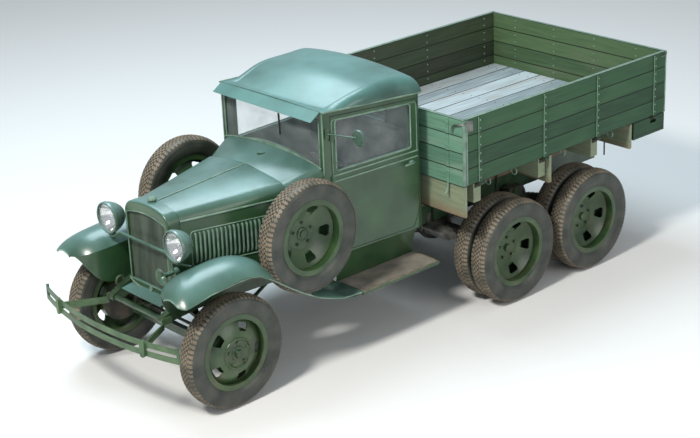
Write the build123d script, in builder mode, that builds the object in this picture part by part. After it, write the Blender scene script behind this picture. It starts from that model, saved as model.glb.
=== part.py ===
"""Six-wheeled military cargo truck with an open plank bed, as an assembly of separate pieces.

The truck stands on Z = 0, its nose points to -Y and its left side to +X.
The origin is on the floor under the middle of the whole truck. All sizes are in millimetres.
"""
import math
import os

from build123d import *

os.makedirs("parts", exist_ok=True)

# Wheels and axles
FRONT_AXLE_Y = -1956.0
WHEELBASE = 2738.0
BOGIE_SPACING = 929.0
FRONT_WHEEL_X = 702.5
REAR_WHEEL_X = 930.0
DUAL_SPACING = 190.0
TYRE_RADIUS = 433.0
TYRE_WIDTH = 168.0
TREAD_WIDTH = 128.0
RIM_RADIUS = 290.0
RIM_WIDTH = 124.0
RIM_WALL = 7.0
RIM_SEAT_RADIUS = 258.0
RIM_DEPTH = 7.0
DISC_OFFSET = 75.0
DISC_WALL = 8.0
HUB_PLATE_RADIUS = 118.0
WINDOW_COUNT = 5
WINDOW_RADIUS = 186.0
WINDOW_DEPTH = 78.0
WINDOW_INNER_HALF = 24.0
WINDOW_OUTER_HALF = 54.0
DRUM_RADIUS = 178.0
DRUM_WIDTH = 64.0
HUB_RADIUS = 58.0
CAP_RADIUS = 34.0
CAP_LENGTH = 26.0
SPINDLE_RADIUS = 26.0
SPINDLE_CLEARANCE = 0.3
SEAT_CLEARANCE = 0.3
RUNNING_GAP = 5.0

# Steering
KINGPIN_X = 612.0
KINGPIN_RADIUS = 11.0
STEER_ARM = 150.0
TIE_ROD_RADIUS = 12.0
TIE_ROD_DROP = 62.0
AXLE_BEAM_HEIGHT = 56.0
AXLE_BEAM_WIDTH = 44.0

# Frame
RAIL_X = 410.0
RAIL_HEIGHT = 160.0
RAIL_WIDTH = 58.0
RAIL_WALL = 6.0
FRAME_TOP_Z = 820.0
HORN_X = 335.0
HORN_TIP_Z = 652.0
HORN_RADIUS = 30.0
FRAME_REAR_OVERHANG = 700.0
KINK_BEHIND_AXLE = 900.0
TRUNNION_RADIUS = 38.0
TRUNNION_Z = 705.0
SPRING_X = 500.0
SPRING_WIDTH = 64.0

# Spare wheels beside the hood
SPARE_X = 735.0
SPARE_BEHIND_AXLE = 748.0
SPARE_Z = 1105.0

# Radiator and hood
SHELL_FRONT = -165.0
SHELL_REAR = -56.0
SHELL_BOTTOM_Z = 735.0
SHELL_RIM = 30.0
HOOD_FRONT_HALF = 262.0
HOOD_REAR_HALF = 490.0
HOOD_FRONT_TOP_Z = 1424.0
HOOD_REAR_TOP_Z = 1484.0
HOOD_FRONT_EDGE_Z = 1323.0
HOOD_REAR_EDGE_Z = 1338.0
HOOD_WALL = 4.0
HOOD_GAP = 5.0
HOOD_STRIP_HALF = 8.0
HOOD_HINGE_X = HOOD_STRIP_HALF + HOOD_GAP
HOOD_BOTTOM_Z = 845.0

# Cab
COWL_FRONT = 777.0
CAB_FRONT = 1052.0
CAB_REAR = 2030.0
CAB_FRONT_HALF = 590.0
CAB_REAR_HALF = 650.0
CAB_BOTTOM_Z = 785.0
CAB_FLOOR_Z = 850.0
CAB_WALL = 30.0
EAVE_FRONT_Z = 1945.0
EAVE_REAR_Z = 1887.0
DOOR_FRONT = 1128.0
DOOR_REAR = 1975.0
DOOR_BOTTOM_Z = 800.0
DOOR_HEADROOM = 42.0
DOOR_GAP = 5.0
DOOR_WINDOW_FRONT = 1172.0
DOOR_WINDOW_REAR = 1900.0
BELT_Z = 1462.0
GLASS_WALL = 6.0
HINGE_RADIUS = 6.5

# Bed
BED_HALF = 1005.0
BED_FRONT = 2105.0
BED_REAR = 4577.0
BOARD_WALL = 30.0
BOARD_TOP_Z = 1706.0
BOARD_BOTTOM_Z = 1167.0
BOARD_COUNT = 4
FLOOR_TOP_Z = 1220.0
FLOOR_WALL = 30.0
PLANK_COUNT = 10
GROOVE = 4.0
SILL_HEIGHT = 170.0
SILL_WIDTH = 76.0
SIDE_HINGE_OUT = 14.0
SIDE_HINGE_X = BED_HALF + SIDE_HINGE_OUT
GATE_HINGE_OUT = 14.0
BED_HINGE_Z = 1154.0
HINGE_PIN_RADIUS = 5.0
STRAP_WIDTH = 34.0
STRAP_WALL = 8.0


def station(behind):
    """Gives the Y of a place a given distance behind the front axle."""
    return FRONT_AXLE_Y + behind


REAR_AXLE_1_Y = station(WHEELBASE)
REAR_AXLE_2_Y = station(WHEELBASE + BOGIE_SPACING)
BOGIE_Y = (REAR_AXLE_1_Y + REAR_AXLE_2_Y) / 2
AXLE_Z = TYRE_RADIUS
RAIL_BOTTOM_Z = FRAME_TOP_Z - RAIL_HEIGHT


def wheel_plane(side, x, y, z):
    """Gives the plane through an axle, with local X outwards and local Y upwards."""
    return Plane(origin=(side * x, y, z), x_dir=(side, 0, 0), z_dir=(0, -side, 0))


def make_tyres(name, side, centres, y, z):
    """Writes the tyres of one hub, at their distances from the truck's middle."""
    bead_half = RIM_WIDTH / 2 - RIM_WALL - SEAT_CLEARANCE
    bead_radius = RIM_SEAT_RADIUS + SEAT_CLEARANCE
    flange_radius = RIM_RADIUS + SEAT_CLEARANCE
    bulge_radius = (RIM_RADIUS + TYRE_RADIUS) / 2 - 6
    shoulder = TREAD_WIDTH / 2
    shoulder_radius = TYRE_RADIUS - 12
    with BuildPart() as tyres:
        for centre in centres:
            with BuildSketch(wheel_plane(side, centre, y, z)):
                with BuildLine():
                    Line((-bead_half, bead_radius), (bead_half, bead_radius))
                    Line((bead_half, bead_radius), (bead_half, flange_radius))
                    Line((bead_half, flange_radius), (bead_half + RIM_WALL, flange_radius))
                    ThreePointArc(
                        (bead_half + RIM_WALL, flange_radius),
                        (TYRE_WIDTH / 2, bulge_radius),
                        (shoulder, shoulder_radius),
                    )
                    ThreePointArc((shoulder, shoulder_radius), (0, TYRE_RADIUS), (-shoulder, shoulder_radius))
                    ThreePointArc(
                        (-shoulder, shoulder_radius),
                        (-TYRE_WIDTH / 2, bulge_radius),
                        (-bead_half - RIM_WALL, flange_radius),
                    )
                    Line((-bead_half - RIM_WALL, flange_radius), (-bead_half, flange_radius))
                    Line((-bead_half, flange_radius), (-bead_half, bead_radius))
                make_face()
            revolve(axis=Axis((side * centre, y, z), (1, 0, 0)))
    tyres.part.label = name
    export_step(tyres.part, f"parts/{name}.step")


def make_wheel(name, side, discs, y, z, drum_inner, bore_end):
    """Writes one hub with its pressed wheels.

    discs holds each wheel's distance from the truck's middle, and 1 where its hub plate lies
    outboard or -1 where it lies inboard. A spare has neither drum nor bore: both are then None.
    """
    rim_half = RIM_WIDTH / 2
    rim_inner = RIM_SEAT_RADIUS - RIM_DEPTH
    plates = [centre + dish * DISC_OFFSET for centre, dish in discs]
    axis = Axis((0, y, z), (1, 0, 0))
    with BuildPart() as wheel:
        for centre, dish in discs:
            with BuildSketch(wheel_plane(side, centre, y, z)):
                Polygon(
                    (-rim_half, rim_inner),
                    (-rim_half, RIM_RADIUS),
                    (-rim_half + RIM_WALL, RIM_RADIUS),
                    (-rim_half + RIM_WALL, RIM_SEAT_RADIUS),
                    (rim_half - RIM_WALL, RIM_SEAT_RADIUS),
                    (rim_half - RIM_WALL, RIM_RADIUS),
                    (rim_half, RIM_RADIUS),
                    (rim_half, rim_inner),
                )
            revolve(axis=axis)
            plate = dish * DISC_OFFSET
            back = plate - dish * DISC_WALL
            with BuildSketch(wheel_plane(side, centre, y, z)):
                with BuildLine():
                    Line((plate, HUB_RADIUS / 2), (plate, HUB_PLATE_RADIUS))
                    ThreePointArc(
                        (plate, HUB_PLATE_RADIUS),
                        (dish * 0.75 * DISC_OFFSET, 0.72 * rim_inner),
                        (dish * 0.2 * DISC_OFFSET, rim_inner + 1),
                    )
                    Line((dish * 0.2 * DISC_OFFSET, rim_inner + 1), (dish * 0.1 * DISC_OFFSET, rim_inner + 1))
                    ThreePointArc(
                        (dish * 0.1 * DISC_OFFSET, rim_inner + 1),
                        (dish * 0.65 * DISC_OFFSET, 0.70 * rim_inner),
                        (back, HUB_PLATE_RADIUS),
                    )
                    Line((back, HUB_PLATE_RADIUS), (back, HUB_RADIUS / 2))
                    Line((back, HUB_RADIUS / 2), (plate, HUB_RADIUS / 2))
                make_face()
            revolve(axis=axis)
            face_out = Plane(origin=(side * centre, y, z), x_dir=(0, 1, 0), z_dir=(side, 0, 0))
            with BuildSketch(face_out):
                with PolarLocations(WINDOW_RADIUS, WINDOW_COUNT, start_angle=66):
                    window = Polygon(
                        (-WINDOW_DEPTH / 2, -WINDOW_INNER_HALF),
                        (WINDOW_DEPTH / 2, -WINDOW_OUTER_HALF),
                        (WINDOW_DEPTH / 2, WINDOW_OUTER_HALF),
                        (-WINDOW_DEPTH / 2, WINDOW_INNER_HALF),
                    )
                fillet(window.vertices(), WINDOW_INNER_HALF * 0.8)
            extrude(amount=rim_half, both=True, mode=Mode.SUBTRACT)
        if drum_inner is not None:
            drum_outer = drum_inner + DRUM_WIDTH
            nose = max(plates)
            with BuildSketch(wheel_plane(side, 0, y, z)):
                Polygon(
                    (drum_inner + 12, 0),
                    (drum_inner + 12, HUB_RADIUS),
                    (drum_outer - 10, HUB_RADIUS),
                    (drum_outer - 10, DRUM_RADIUS - 10),
                    (drum_inner, DRUM_RADIUS - 10),
                    (drum_inner, DRUM_RADIUS),
                    (drum_outer, DRUM_RADIUS),
                    (drum_outer, HUB_RADIUS + 6),
                    (min(plates), HUB_RADIUS + 6),
                    (min(plates), HUB_PLATE_RADIUS),
                    (nose, HUB_PLATE_RADIUS),
                    (nose, HUB_RADIUS),
                    (nose + 6, HUB_RADIUS - 4),
                    (nose + 6, CAP_RADIUS),
                    (nose + CAP_LENGTH, CAP_RADIUS - 6),
                    (nose + CAP_LENGTH, 0),
                )
            revolve(axis=axis)
            with BuildSketch(wheel_plane(side, 0, y, z)):
                Polygon(
                    (drum_inner, 0),
                    (drum_inner, SPINDLE_RADIUS + SPINDLE_CLEARANCE),
                    (bore_end, SPINDLE_RADIUS + SPINDLE_CLEARANCE),
                    (bore_end, 0),
                )
            revolve(axis=axis, mode=Mode.SUBTRACT)
    wheel.part.label = name
    export_step(wheel.part, f"parts/{name}.step")


# Front wheels: the hub plate lies outboard, and the drum faces the knuckle.
FRONT_DRUM_X = FRONT_WHEEL_X - 54
FRONT_BORE_END = FRONT_WHEEL_X + DISC_OFFSET - 10
for side_name, side in (("left", 1), ("right", -1)):
    make_tyres(f"front_tyre_{side_name}", side, (FRONT_WHEEL_X,), FRONT_AXLE_Y, AXLE_Z)
    make_wheel(
        f"front_wheel_{side_name}", side, ((FRONT_WHEEL_X, 1),), FRONT_AXLE_Y, AXLE_Z,
        FRONT_DRUM_X, FRONT_BORE_END,
    )

# Driven wheels: two wheels on each hub, back to back on its flange.
REAR_INNER_X = REAR_WHEEL_X - DUAL_SPACING
REAR_DRUM_X = REAR_INNER_X - 136
REAR_BORE_END = REAR_WHEEL_X - DISC_OFFSET + 6
for side_name, side in (("left", 1), ("right", -1)):
    for axle_number, axle_y in ((1, REAR_AXLE_1_Y), (2, REAR_AXLE_2_Y)):
        make_tyres(
            f"rear_tyres_{axle_number}_{side_name}", side, (REAR_WHEEL_X, REAR_INNER_X), axle_y, AXLE_Z
        )
        make_wheel(
            f"rear_wheels_{axle_number}_{side_name}", side, ((REAR_WHEEL_X, -1), (REAR_INNER_X, 1)),
            axle_y, AXLE_Z, REAR_DRUM_X, REAR_BORE_END,
        )

# Spare wheels stand in wells of the front fenders, hub plate inboard.
SPARE_Y = station(SPARE_BEHIND_AXLE)
make_tyres("spare_tyres", 1, (SPARE_X, -SPARE_X), SPARE_Y, SPARE_Z)
make_wheel("spare_wheels", 1, ((SPARE_X, -1), (-SPARE_X, 1)), SPARE_Y, SPARE_Z, None, None)

# Knuckles with kingpin ears, brake plate, spindle and steering arm
ear_radius = 28.0
ear_height = 18.0
eye_height = AXLE_BEAM_HEIGHT + 8
knuckle_top = eye_height / 2 + 1 + ear_height
plate_x = FRONT_DRUM_X - 8
for side_name, side in (("left", 1), ("right", -1)):
    pin = (side * KINGPIN_X, FRONT_AXLE_Y)
    with BuildPart() as knuckle:
        for ear_z in (AXLE_Z + eye_height / 2 + 1, AXLE_Z - knuckle_top):
            with BuildSketch(Plane.XY.offset(ear_z)):
                with Locations(pin):
                    Circle(ear_radius)
                with Locations((side * (KINGPIN_X + ear_radius / 2 + 1), FRONT_AXLE_Y)):
                    Rectangle(ear_radius + 2, 2 * ear_radius)
            extrude(amount=ear_height)
        with BuildSketch(Plane.YZ.offset(side * (KINGPIN_X + ear_radius + 1))):
            with Locations((FRONT_AXLE_Y, AXLE_Z)):
                Circle(knuckle_top + 4)
        extrude(amount=side * (plate_x - KINGPIN_X - ear_radius - 1))
        with BuildSketch(Plane.YZ.offset(side * plate_x)):
            with Locations((FRONT_AXLE_Y, AXLE_Z)):
                Circle(DRUM_RADIUS - 4)
        extrude(amount=side * 5)
        with BuildSketch(Plane.YZ.offset(side * plate_x)):
            with Locations((FRONT_AXLE_Y, AXLE_Z)):
                Circle(SPINDLE_RADIUS)
        extrude(amount=side * (FRONT_BORE_END - plate_x - 3))
        with BuildSketch(Plane.XY.offset(AXLE_Z - TIE_ROD_DROP + TIE_ROD_RADIUS + 1)):
            with BuildLine():
                Polyline(
                    (side * (KINGPIN_X + 14), FRONT_AXLE_Y - 10),
                    (side * (KINGPIN_X + 14), FRONT_AXLE_Y + STEER_ARM),
                    (side * (KINGPIN_X - 14), FRONT_AXLE_Y + STEER_ARM),
                    (side * (KINGPIN_X - 22), FRONT_AXLE_Y + 34),
                    (side * (KINGPIN_X - 22), FRONT_AXLE_Y - 10),
                    close=True,
                )
            make_face()
            with Locations((side * KINGPIN_X, FRONT_AXLE_Y + STEER_ARM)):
                Circle(17)
        extrude(amount=16)
        with BuildSketch(Plane.XY.offset(AXLE_Z - knuckle_top - 5)):
            with Locations(pin):
                Circle(KINGPIN_RADIUS + SPINDLE_CLEARANCE)
        extrude(amount=2 * knuckle_top + 10, mode=Mode.SUBTRACT)
        with BuildSketch(Plane.XY.offset(AXLE_Z - TIE_ROD_DROP)):
            with Locations((side * KINGPIN_X, FRONT_AXLE_Y + STEER_ARM)):
                Circle(6 + SPINDLE_CLEARANCE)
        extrude(amount=40, mode=Mode.SUBTRACT)
    knuckle.part.label = f"knuckle_{side_name}"
    export_step(knuckle.part, f"parts/knuckle_{side_name}.step")

# Tie rod behind the axle: its eyes hang under the steering arms on short pins.
tie_rod_z = AXLE_Z - TIE_ROD_DROP
with BuildPart() as tie_rod:
    with BuildSketch(Plane.YZ):
        with Locations((FRONT_AXLE_Y + STEER_ARM, tie_rod_z)):
            Circle(TIE_ROD_RADIUS)
    extrude(amount=KINGPIN_X - 10, both=True)
    with BuildSketch(Plane.XY.offset(tie_rod_z - TIE_ROD_RADIUS)):
        with Locations((KINGPIN_X, FRONT_AXLE_Y + STEER_ARM), (-KINGPIN_X, FRONT_AXLE_Y + STEER_ARM)):
            Circle(18)
    extrude(amount=2 * TIE_ROD_RADIUS)
    with BuildSketch(Plane.XY.offset(tie_rod_z)):
        with Locations((KINGPIN_X, FRONT_AXLE_Y + STEER_ARM), (-KINGPIN_X, FRONT_AXLE_Y + STEER_ARM)):
            Circle(6)
    extrude(amount=TIE_ROD_RADIUS + 16)
tie_rod.part.label = "tie_rod"
export_step(tie_rod.part, "parts/tie_rod.step")

# Front axle beam with dropped ends, kingpins and the two radius rods behind it
BEAM_X = KINGPIN_X - ear_radius - 6
RADIUS_BALL_BEHIND = 960.0
with BuildPart() as front_axle:
    with BuildSketch(Plane.XZ.offset(-FRONT_AXLE_Y - AXLE_BEAM_WIDTH / 2)):
        with BuildLine():
            Polyline(
                (-KINGPIN_X, AXLE_Z + AXLE_BEAM_HEIGHT / 2),
                (-BEAM_X + 60, AXLE_Z + AXLE_BEAM_HEIGHT / 2),
                (-BEAM_X + 130, AXLE_Z + 2),
                (BEAM_X - 130, AXLE_Z + 2),
                (BEAM_X - 60, AXLE_Z + AXLE_BEAM_HEIGHT / 2),
                (KINGPIN_X, AXLE_Z + AXLE_BEAM_HEIGHT / 2),
                (KINGPIN_X, AXLE_Z - AXLE_BEAM_HEIGHT / 2),
                (BEAM_X - 20, AXLE_Z - AXLE_BEAM_HEIGHT / 2),
                (BEAM_X - 120, AXLE_Z - 66),
                (-BEAM_X + 120, AXLE_Z - 66),
                (-BEAM_X + 20, AXLE_Z - AXLE_BEAM_HEIGHT / 2),
                (-KINGPIN_X, AXLE_Z - AXLE_BEAM_HEIGHT / 2),
                close=True,
            )
        make_face()
    extrude(amount=AXLE_BEAM_WIDTH)
    with BuildSketch(Plane.XY.offset(AXLE_Z - eye_height / 2)):
        with Locations((KINGPIN_X, FRONT_AXLE_Y), (-KINGPIN_X, FRONT_AXLE_Y)):
            Circle(ear_radius - 3)
    extrude(amount=eye_height)
    with BuildSketch(Plane.XY.offset(AXLE_Z - knuckle_top + 2)):
        with Locations((KINGPIN_X, FRONT_AXLE_Y), (-KINGPIN_X, FRONT_AXLE_Y)):
            Circle(KINGPIN_RADIUS)
    extrude(amount=2 * knuckle_top - 4)
    for side in (1, -1):
        rod_start = Vector(side * 470, FRONT_AXLE_Y, AXLE_Z - 16)
        rod_end = Vector(side * 14, station(RADIUS_BALL_BEHIND), AXLE_Z + 60)
        rod_line = rod_end - rod_start
        with BuildSketch(Plane(origin=rod_start, z_dir=rod_line)):
            Circle(15)
        extrude(amount=rod_line.length)
    with BuildSketch(Plane.XZ.offset(-station(RADIUS_BALL_BEHIND) - 30)):
        with Locations((0, AXLE_Z + 60)):
            Circle(30)
    extrude(amount=50)
front_axle.part.label = "front_axle"
export_step(front_axle.part, "parts/front_axle.step")

# Frame rails: open channels, straight behind the kink and drawn in towards the front horns
KINK_Y = station(KINK_BEHIND_AXLE)
FRAME_REAR_Y = REAR_AXLE_2_Y + FRAME_REAR_OVERHANG
HORN_BEFORE_AXLE = 312.0
horn_reach = KINK_BEHIND_AXLE + HORN_BEFORE_AXLE
rail_splay = math.atan((RAIL_X - HORN_X) / horn_reach)
horn_run = horn_reach / math.cos(rail_splay)
with BuildPart() as rails:
    for side in (1, -1):
        with BuildSketch(Plane.YZ.offset(side * RAIL_X)):
            with Locations(((KINK_Y + FRAME_REAR_Y) / 2, FRAME_TOP_Z - RAIL_HEIGHT / 2)):
                Rectangle(FRAME_REAR_Y - KINK_Y, RAIL_HEIGHT)
        extrude(amount=-side * RAIL_WIDTH)
        with BuildSketch(Plane.YZ.offset(side * (RAIL_X - RAIL_WALL))):
            with Locations(((KINK_Y + FRAME_REAR_Y) / 2, FRAME_TOP_Z - RAIL_HEIGHT / 2)):
                Rectangle(FRAME_REAR_Y - KINK_Y, RAIL_HEIGHT - 2 * RAIL_WALL)
        extrude(amount=-side * RAIL_WIDTH, mode=Mode.SUBTRACT)
        drawn_in = Plane(
            origin=(side * RAIL_X, KINK_Y, 0),
            x_dir=(-side * math.sin(rail_splay), -math.cos(rail_splay), 0),
            z_dir=(-math.cos(rail_splay), side * math.sin(rail_splay), 0),
        )
        with BuildSketch(drawn_in):
            with BuildLine():
                Line((-6, RAIL_BOTTOM_Z), (-6, FRAME_TOP_Z))
                Line((-6, FRAME_TOP_Z), (450, FRAME_TOP_Z))
                ThreePointArc(
                    (450, FRAME_TOP_Z),
                    (950, FRAME_TOP_Z - 38),
                    (horn_run - 6, HORN_TIP_Z + HORN_RADIUS),
                )
                ThreePointArc(
                    (horn_run - 6, HORN_TIP_Z + HORN_RADIUS),
                    (horn_run + HORN_RADIUS - 6, HORN_TIP_Z),
                    (horn_run - 10, HORN_TIP_Z - HORN_RADIUS),
                )
                Line((horn_run - 10, HORN_TIP_Z - HORN_RADIUS), (900, RAIL_BOTTOM_Z))
                Line((900, RAIL_BOTTOM_Z), (-6, RAIL_BOTTOM_Z))
            make_face()
        extrude(amount=side * RAIL_WIDTH)
        with BuildSketch(drawn_in.offset(side * RAIL_WALL)):
            with BuildLine():
                Polyline(
                    (-8, RAIL_BOTTOM_Z + RAIL_WALL),
                    (-8, FRAME_TOP_Z - RAIL_WALL),
                    (450, FRAME_TOP_Z - RAIL_WALL),
                    (950, FRAME_TOP_Z - 38 - RAIL_WALL - 4),
                    (horn_run - 80, HORN_TIP_Z + HORN_RADIUS + 14),
                    (horn_run - 120, HORN_TIP_Z - HORN_RADIUS + 26),
                    (900, RAIL_BOTTOM_Z + RAIL_WALL),
                    close=True,
                )
            make_face()
        extrude(amount=side * RAIL_WIDTH, mode=Mode.SUBTRACT)
    with BuildSketch(Plane.YZ):
        with Locations((BOGIE_Y, TRUNNION_Z)):
            Circle(TRUNNION_RADIUS + SEAT_CLEARANCE)
    extrude(amount=RAIL_X + RAIL_WALL, both=True, mode=Mode.SUBTRACT)
rails.part.label = "frame_rails"
export_step(rails.part, "parts/frame_rails.step")

# Cross members between the rails: channels, the horn tube and the tube that the bogie turns on
cross_half = RAIL_X - RAIL_WALL
# Each front member: distance behind the axle, width, middle Z, height and half length
front_members = (
    (-300.0, 36.0, HORN_TIP_Z, 36.0, 273.0),
    (-80.0, 70.0, 712.0, 45.4, 341.0),
    (10.0, 80.0, 684.4, 36.0, 346.0),
)
cross_places = ((1560.0, 120.0), (2330.0, 120.0), (BOGIE_Y - FRONT_AXLE_Y, 120.0), (4300.0, 90.0))
with BuildPart() as cross_members:
    for behind, depth in cross_places:
        with BuildSketch(Plane.YZ):
            with Locations((station(behind), FRAME_TOP_Z - RAIL_HEIGHT / 2)):
                Rectangle(depth, RAIL_HEIGHT - 2 * RAIL_WALL)
            with Locations((station(behind), FRAME_TOP_Z - RAIL_HEIGHT / 2 - RAIL_WALL)):
                Rectangle(depth - 2 * RAIL_WALL, RAIL_HEIGHT - 2 * RAIL_WALL, mode=Mode.SUBTRACT)
        extrude(amount=cross_half, both=True)
    with BuildSketch(Plane.YZ):
        with Locations((BOGIE_Y, TRUNNION_Z)):
            Circle(TRUNNION_RADIUS)
    extrude(amount=SPRING_X + SPRING_WIDTH / 2 + 16, both=True)
    for behind, width, middle_z, height, half in front_members:
        with BuildSketch(Plane.YZ):
            with Locations((station(behind), middle_z)):
                RectangleRounded(width, height, 12)
        extrude(amount=half, both=True)
cross_members.part.label = "cross_members"
export_step(cross_members.part, "parts/cross_members.step")

# Transverse front spring: a stack of leaves, each an arc, clamped under the front cross member
with BuildPart() as front_spring:
    for leaf, leaf_half in enumerate((480.0, 410.0, 340.0, 270.0, 200.0, 130.0)):
        leaf_top = RAIL_BOTTOM_Z - 8 - (5 - leaf) * 9.0
        with BuildSketch(Plane.XZ.offset(-station(20.0) - 28)):
            with BuildLine():
                drop = 88.0 * (leaf_half / 480.0) ** 2
                ThreePointArc((-leaf_half, leaf_top - drop), (0, leaf_top), (leaf_half, leaf_top - drop))
                Line((leaf_half, leaf_top - drop), (leaf_half, leaf_top - drop - 9))
                ThreePointArc((leaf_half, leaf_top - drop - 9), (0, leaf_top - 9), (-leaf_half, leaf_top - drop - 9))
                Line((-leaf_half, leaf_top - drop - 9), (-leaf_half, leaf_top - drop))
            make_face()
        extrude(amount=56)
    with BuildSketch(Plane.XZ.offset(-station(20.0) - 36)):
        with Locations((0, RAIL_BOTTOM_Z - 34)):
            Rectangle(110, 80)
    extrude(amount=72)
    for side in (1, -1):
        with BuildSketch(Plane.XZ.offset(-station(20.0) - 20)):
            Polygon(
                (side * 466, AXLE_Z + 9.1),
                (side * 500, AXLE_Z + 21.7),
                (side * 488, RAIL_BOTTOM_Z - 140),
                (side * 454, RAIL_BOTTOM_Z - 140),
            )
        extrude(amount=40)
front_spring.part.label = "front_spring"
export_step(front_spring.part, "parts/front_spring.step")

# Driven axles: banjo casing, tubes, brake plates and spindles
AXLE_TUBE_RADIUS = 42.0
DIFF_RADIUS = 152.0
rear_plate_x = REAR_DRUM_X - 8
for axle_number, axle_y in ((1, REAR_AXLE_1_Y), (2, REAR_AXLE_2_Y)):
    with BuildPart() as rear_axle:
        with BuildSketch(Plane.XZ.offset(-axle_y)):
            with BuildLine():
                Line((0, AXLE_Z), (0, AXLE_Z + DIFF_RADIUS))
                ThreePointArc((0, AXLE_Z + DIFF_RADIUS), (96, AXLE_Z + 122), (190, AXLE_Z + AXLE_TUBE_RADIUS))
                Line((190, AXLE_Z + AXLE_TUBE_RADIUS), (rear_plate_x, AXLE_Z + AXLE_TUBE_RADIUS))
                Line((rear_plate_x, AXLE_Z + AXLE_TUBE_RADIUS), (rear_plate_x, AXLE_Z + DRUM_RADIUS - 4))
                Line((rear_plate_x, AXLE_Z + DRUM_RADIUS - 4), (rear_plate_x + 5, AXLE_Z + DRUM_RADIUS - 4))
                Line((rear_plate_x + 5, AXLE_Z + DRUM_RADIUS - 4), (rear_plate_x + 5, AXLE_Z + SPINDLE_RADIUS))
                Line((rear_plate_x + 5, AXLE_Z + SPINDLE_RADIUS), (REAR_BORE_END - 3, AXLE_Z + SPINDLE_RADIUS))
                Line((REAR_BORE_END - 3, AXLE_Z + SPINDLE_RADIUS), (REAR_BORE_END - 3, AXLE_Z))
                Line((REAR_BORE_END - 3, AXLE_Z), (0, AXLE_Z))
            make_face()
        revolve(axis=Axis((0, axle_y, AXLE_Z), (1, 0, 0)))
        mirror(about=Plane.YZ)
        with BuildSketch(Plane.XZ.offset(-axle_y + 180)):
            with Locations((0, AXLE_Z + 60)):
                Circle(62)
        extrude(amount=-180)
        for side in (1, -1):
            with BuildSketch(Plane.YZ.offset(side * (SPRING_X - SPRING_WIDTH / 2))):
                with Locations((axle_y, AXLE_Z + AXLE_TUBE_RADIUS + 10)):
                    Rectangle(120, 40)
            extrude(amount=side * SPRING_WIDTH)
    rear_axle.part.label = f"rear_axle_{axle_number}"
    export_step(rear_axle.part, f"parts/rear_axle_{axle_number}.step")

# Bogie springs: on each side one stack of leaves from axle to axle, hung on the cross tube
SPRING_SEAT_Z = AXLE_Z + AXLE_TUBE_RADIUS + 30
spring_half = BOGIE_SPACING / 2
with BuildPart() as bogie_springs:
    for side in (1, -1):
        for leaf in range(8):
            leaf_half = spring_half + 40 - leaf * 54.0
            rise = 74.0
            low = SPRING_SEAT_Z + 0.3 + rise * (1 - (leaf_half / (spring_half + 40)) ** 2) + leaf * 9.0
            top = SPRING_SEAT_Z + 0.3 + rise + leaf * 9.0
            with BuildSketch(Plane.YZ.offset(side * (SPRING_X - SPRING_WIDTH / 2 + 2))):
                with BuildLine():
                    ThreePointArc((BOGIE_Y - leaf_half, low), (BOGIE_Y, top), (BOGIE_Y + leaf_half, low))
                    Line((BOGIE_Y + leaf_half, low), (BOGIE_Y + leaf_half, low + 9))
                    ThreePointArc((BOGIE_Y + leaf_half, low + 9), (BOGIE_Y, top + 9), (BOGIE_Y - leaf_half, low + 9))
                    Line((BOGIE_Y - leaf_half, low + 9), (BOGIE_Y - leaf_half, low))
                make_face()
            extrude(amount=side * (SPRING_WIDTH - 4))
        with BuildSketch(Plane.YZ.offset(side * (SPRING_X - SPRING_WIDTH / 2 - 4))):
            with Locations((BOGIE_Y, TRUNNION_Z - 34)):
                Rectangle(150, 150)
            with Locations((BOGIE_Y, TRUNNION_Z)):
                Circle(TRUNNION_RADIUS + SPINDLE_CLEARANCE, mode=Mode.SUBTRACT)
        extrude(amount=side * (SPRING_WIDTH + 8))
bogie_springs.part.label = "bogie_springs"
export_step(bogie_springs.part, "parts/bogie_springs.step")

# Engine and gearbox: one plain block at its real place, on lugs over the rails' cross members
ENGINE_FRONT = 60.0
ENGINE_REAR = 640.0
GEARBOX_REAR = 1180.0
with BuildPart() as engine:
    with BuildSketch(Plane.XY.offset(600)):
        with Locations((0, station((ENGINE_FRONT + ENGINE_REAR) / 2))):
            RectangleRounded(300, ENGINE_REAR - ENGINE_FRONT, 30)
    extrude(amount=500)
    with BuildSketch(Plane.XZ.offset(-station(ENGINE_REAR))):
        with Locations((0, 700)):
            RectangleRounded(250, 220, 60)
    extrude(amount=-(GEARBOX_REAR - ENGINE_REAR))
    with BuildSketch(Plane.YZ):
        with Locations((station(320), FRAME_TOP_Z - RAIL_HEIGHT / 2)):
            Rectangle(90, 60)
    extrude(amount=365, both=True)
engine.part.label = "engine_gearbox"
export_step(engine.part, "parts/engine_gearbox.step")

# Drive shafts from the gearbox to the first axle and between the axles
SHAFT_RADIUS = 30.0
shaft_z = AXLE_Z + 60
with BuildPart() as shafts:
    shaft_start = Vector(0, station(GEARBOX_REAR) + 0.3, 668)
    shaft_end = Vector(0, REAR_AXLE_1_Y - 180.3, shaft_z)
    shaft_line = shaft_end - shaft_start
    with BuildSketch(Plane(origin=shaft_start + shaft_line * 0.06, z_dir=shaft_line)):
        Circle(SHAFT_RADIUS)
    extrude(amount=shaft_line.length * 0.88)
    for joint_y, joint_z, length in ((shaft_start.Y, 668, 130), (shaft_end.Y - 130, shaft_z, 130)):
        with BuildSketch(Plane.XZ.offset(-joint_y)):
            with Locations((0, joint_z)):
                Circle(48)
        extrude(amount=-length)
    with BuildSketch(Plane.XZ.offset(-(REAR_AXLE_1_Y + DIFF_RADIUS + 0.3))):
        with Locations((0, shaft_z)):
            Circle(40)
    extrude(amount=-(BOGIE_SPACING - 180.6 - DIFF_RADIUS))
shafts.part.label = "drive_shafts"
export_step(shafts.part, "parts/drive_shafts.step")

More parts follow.
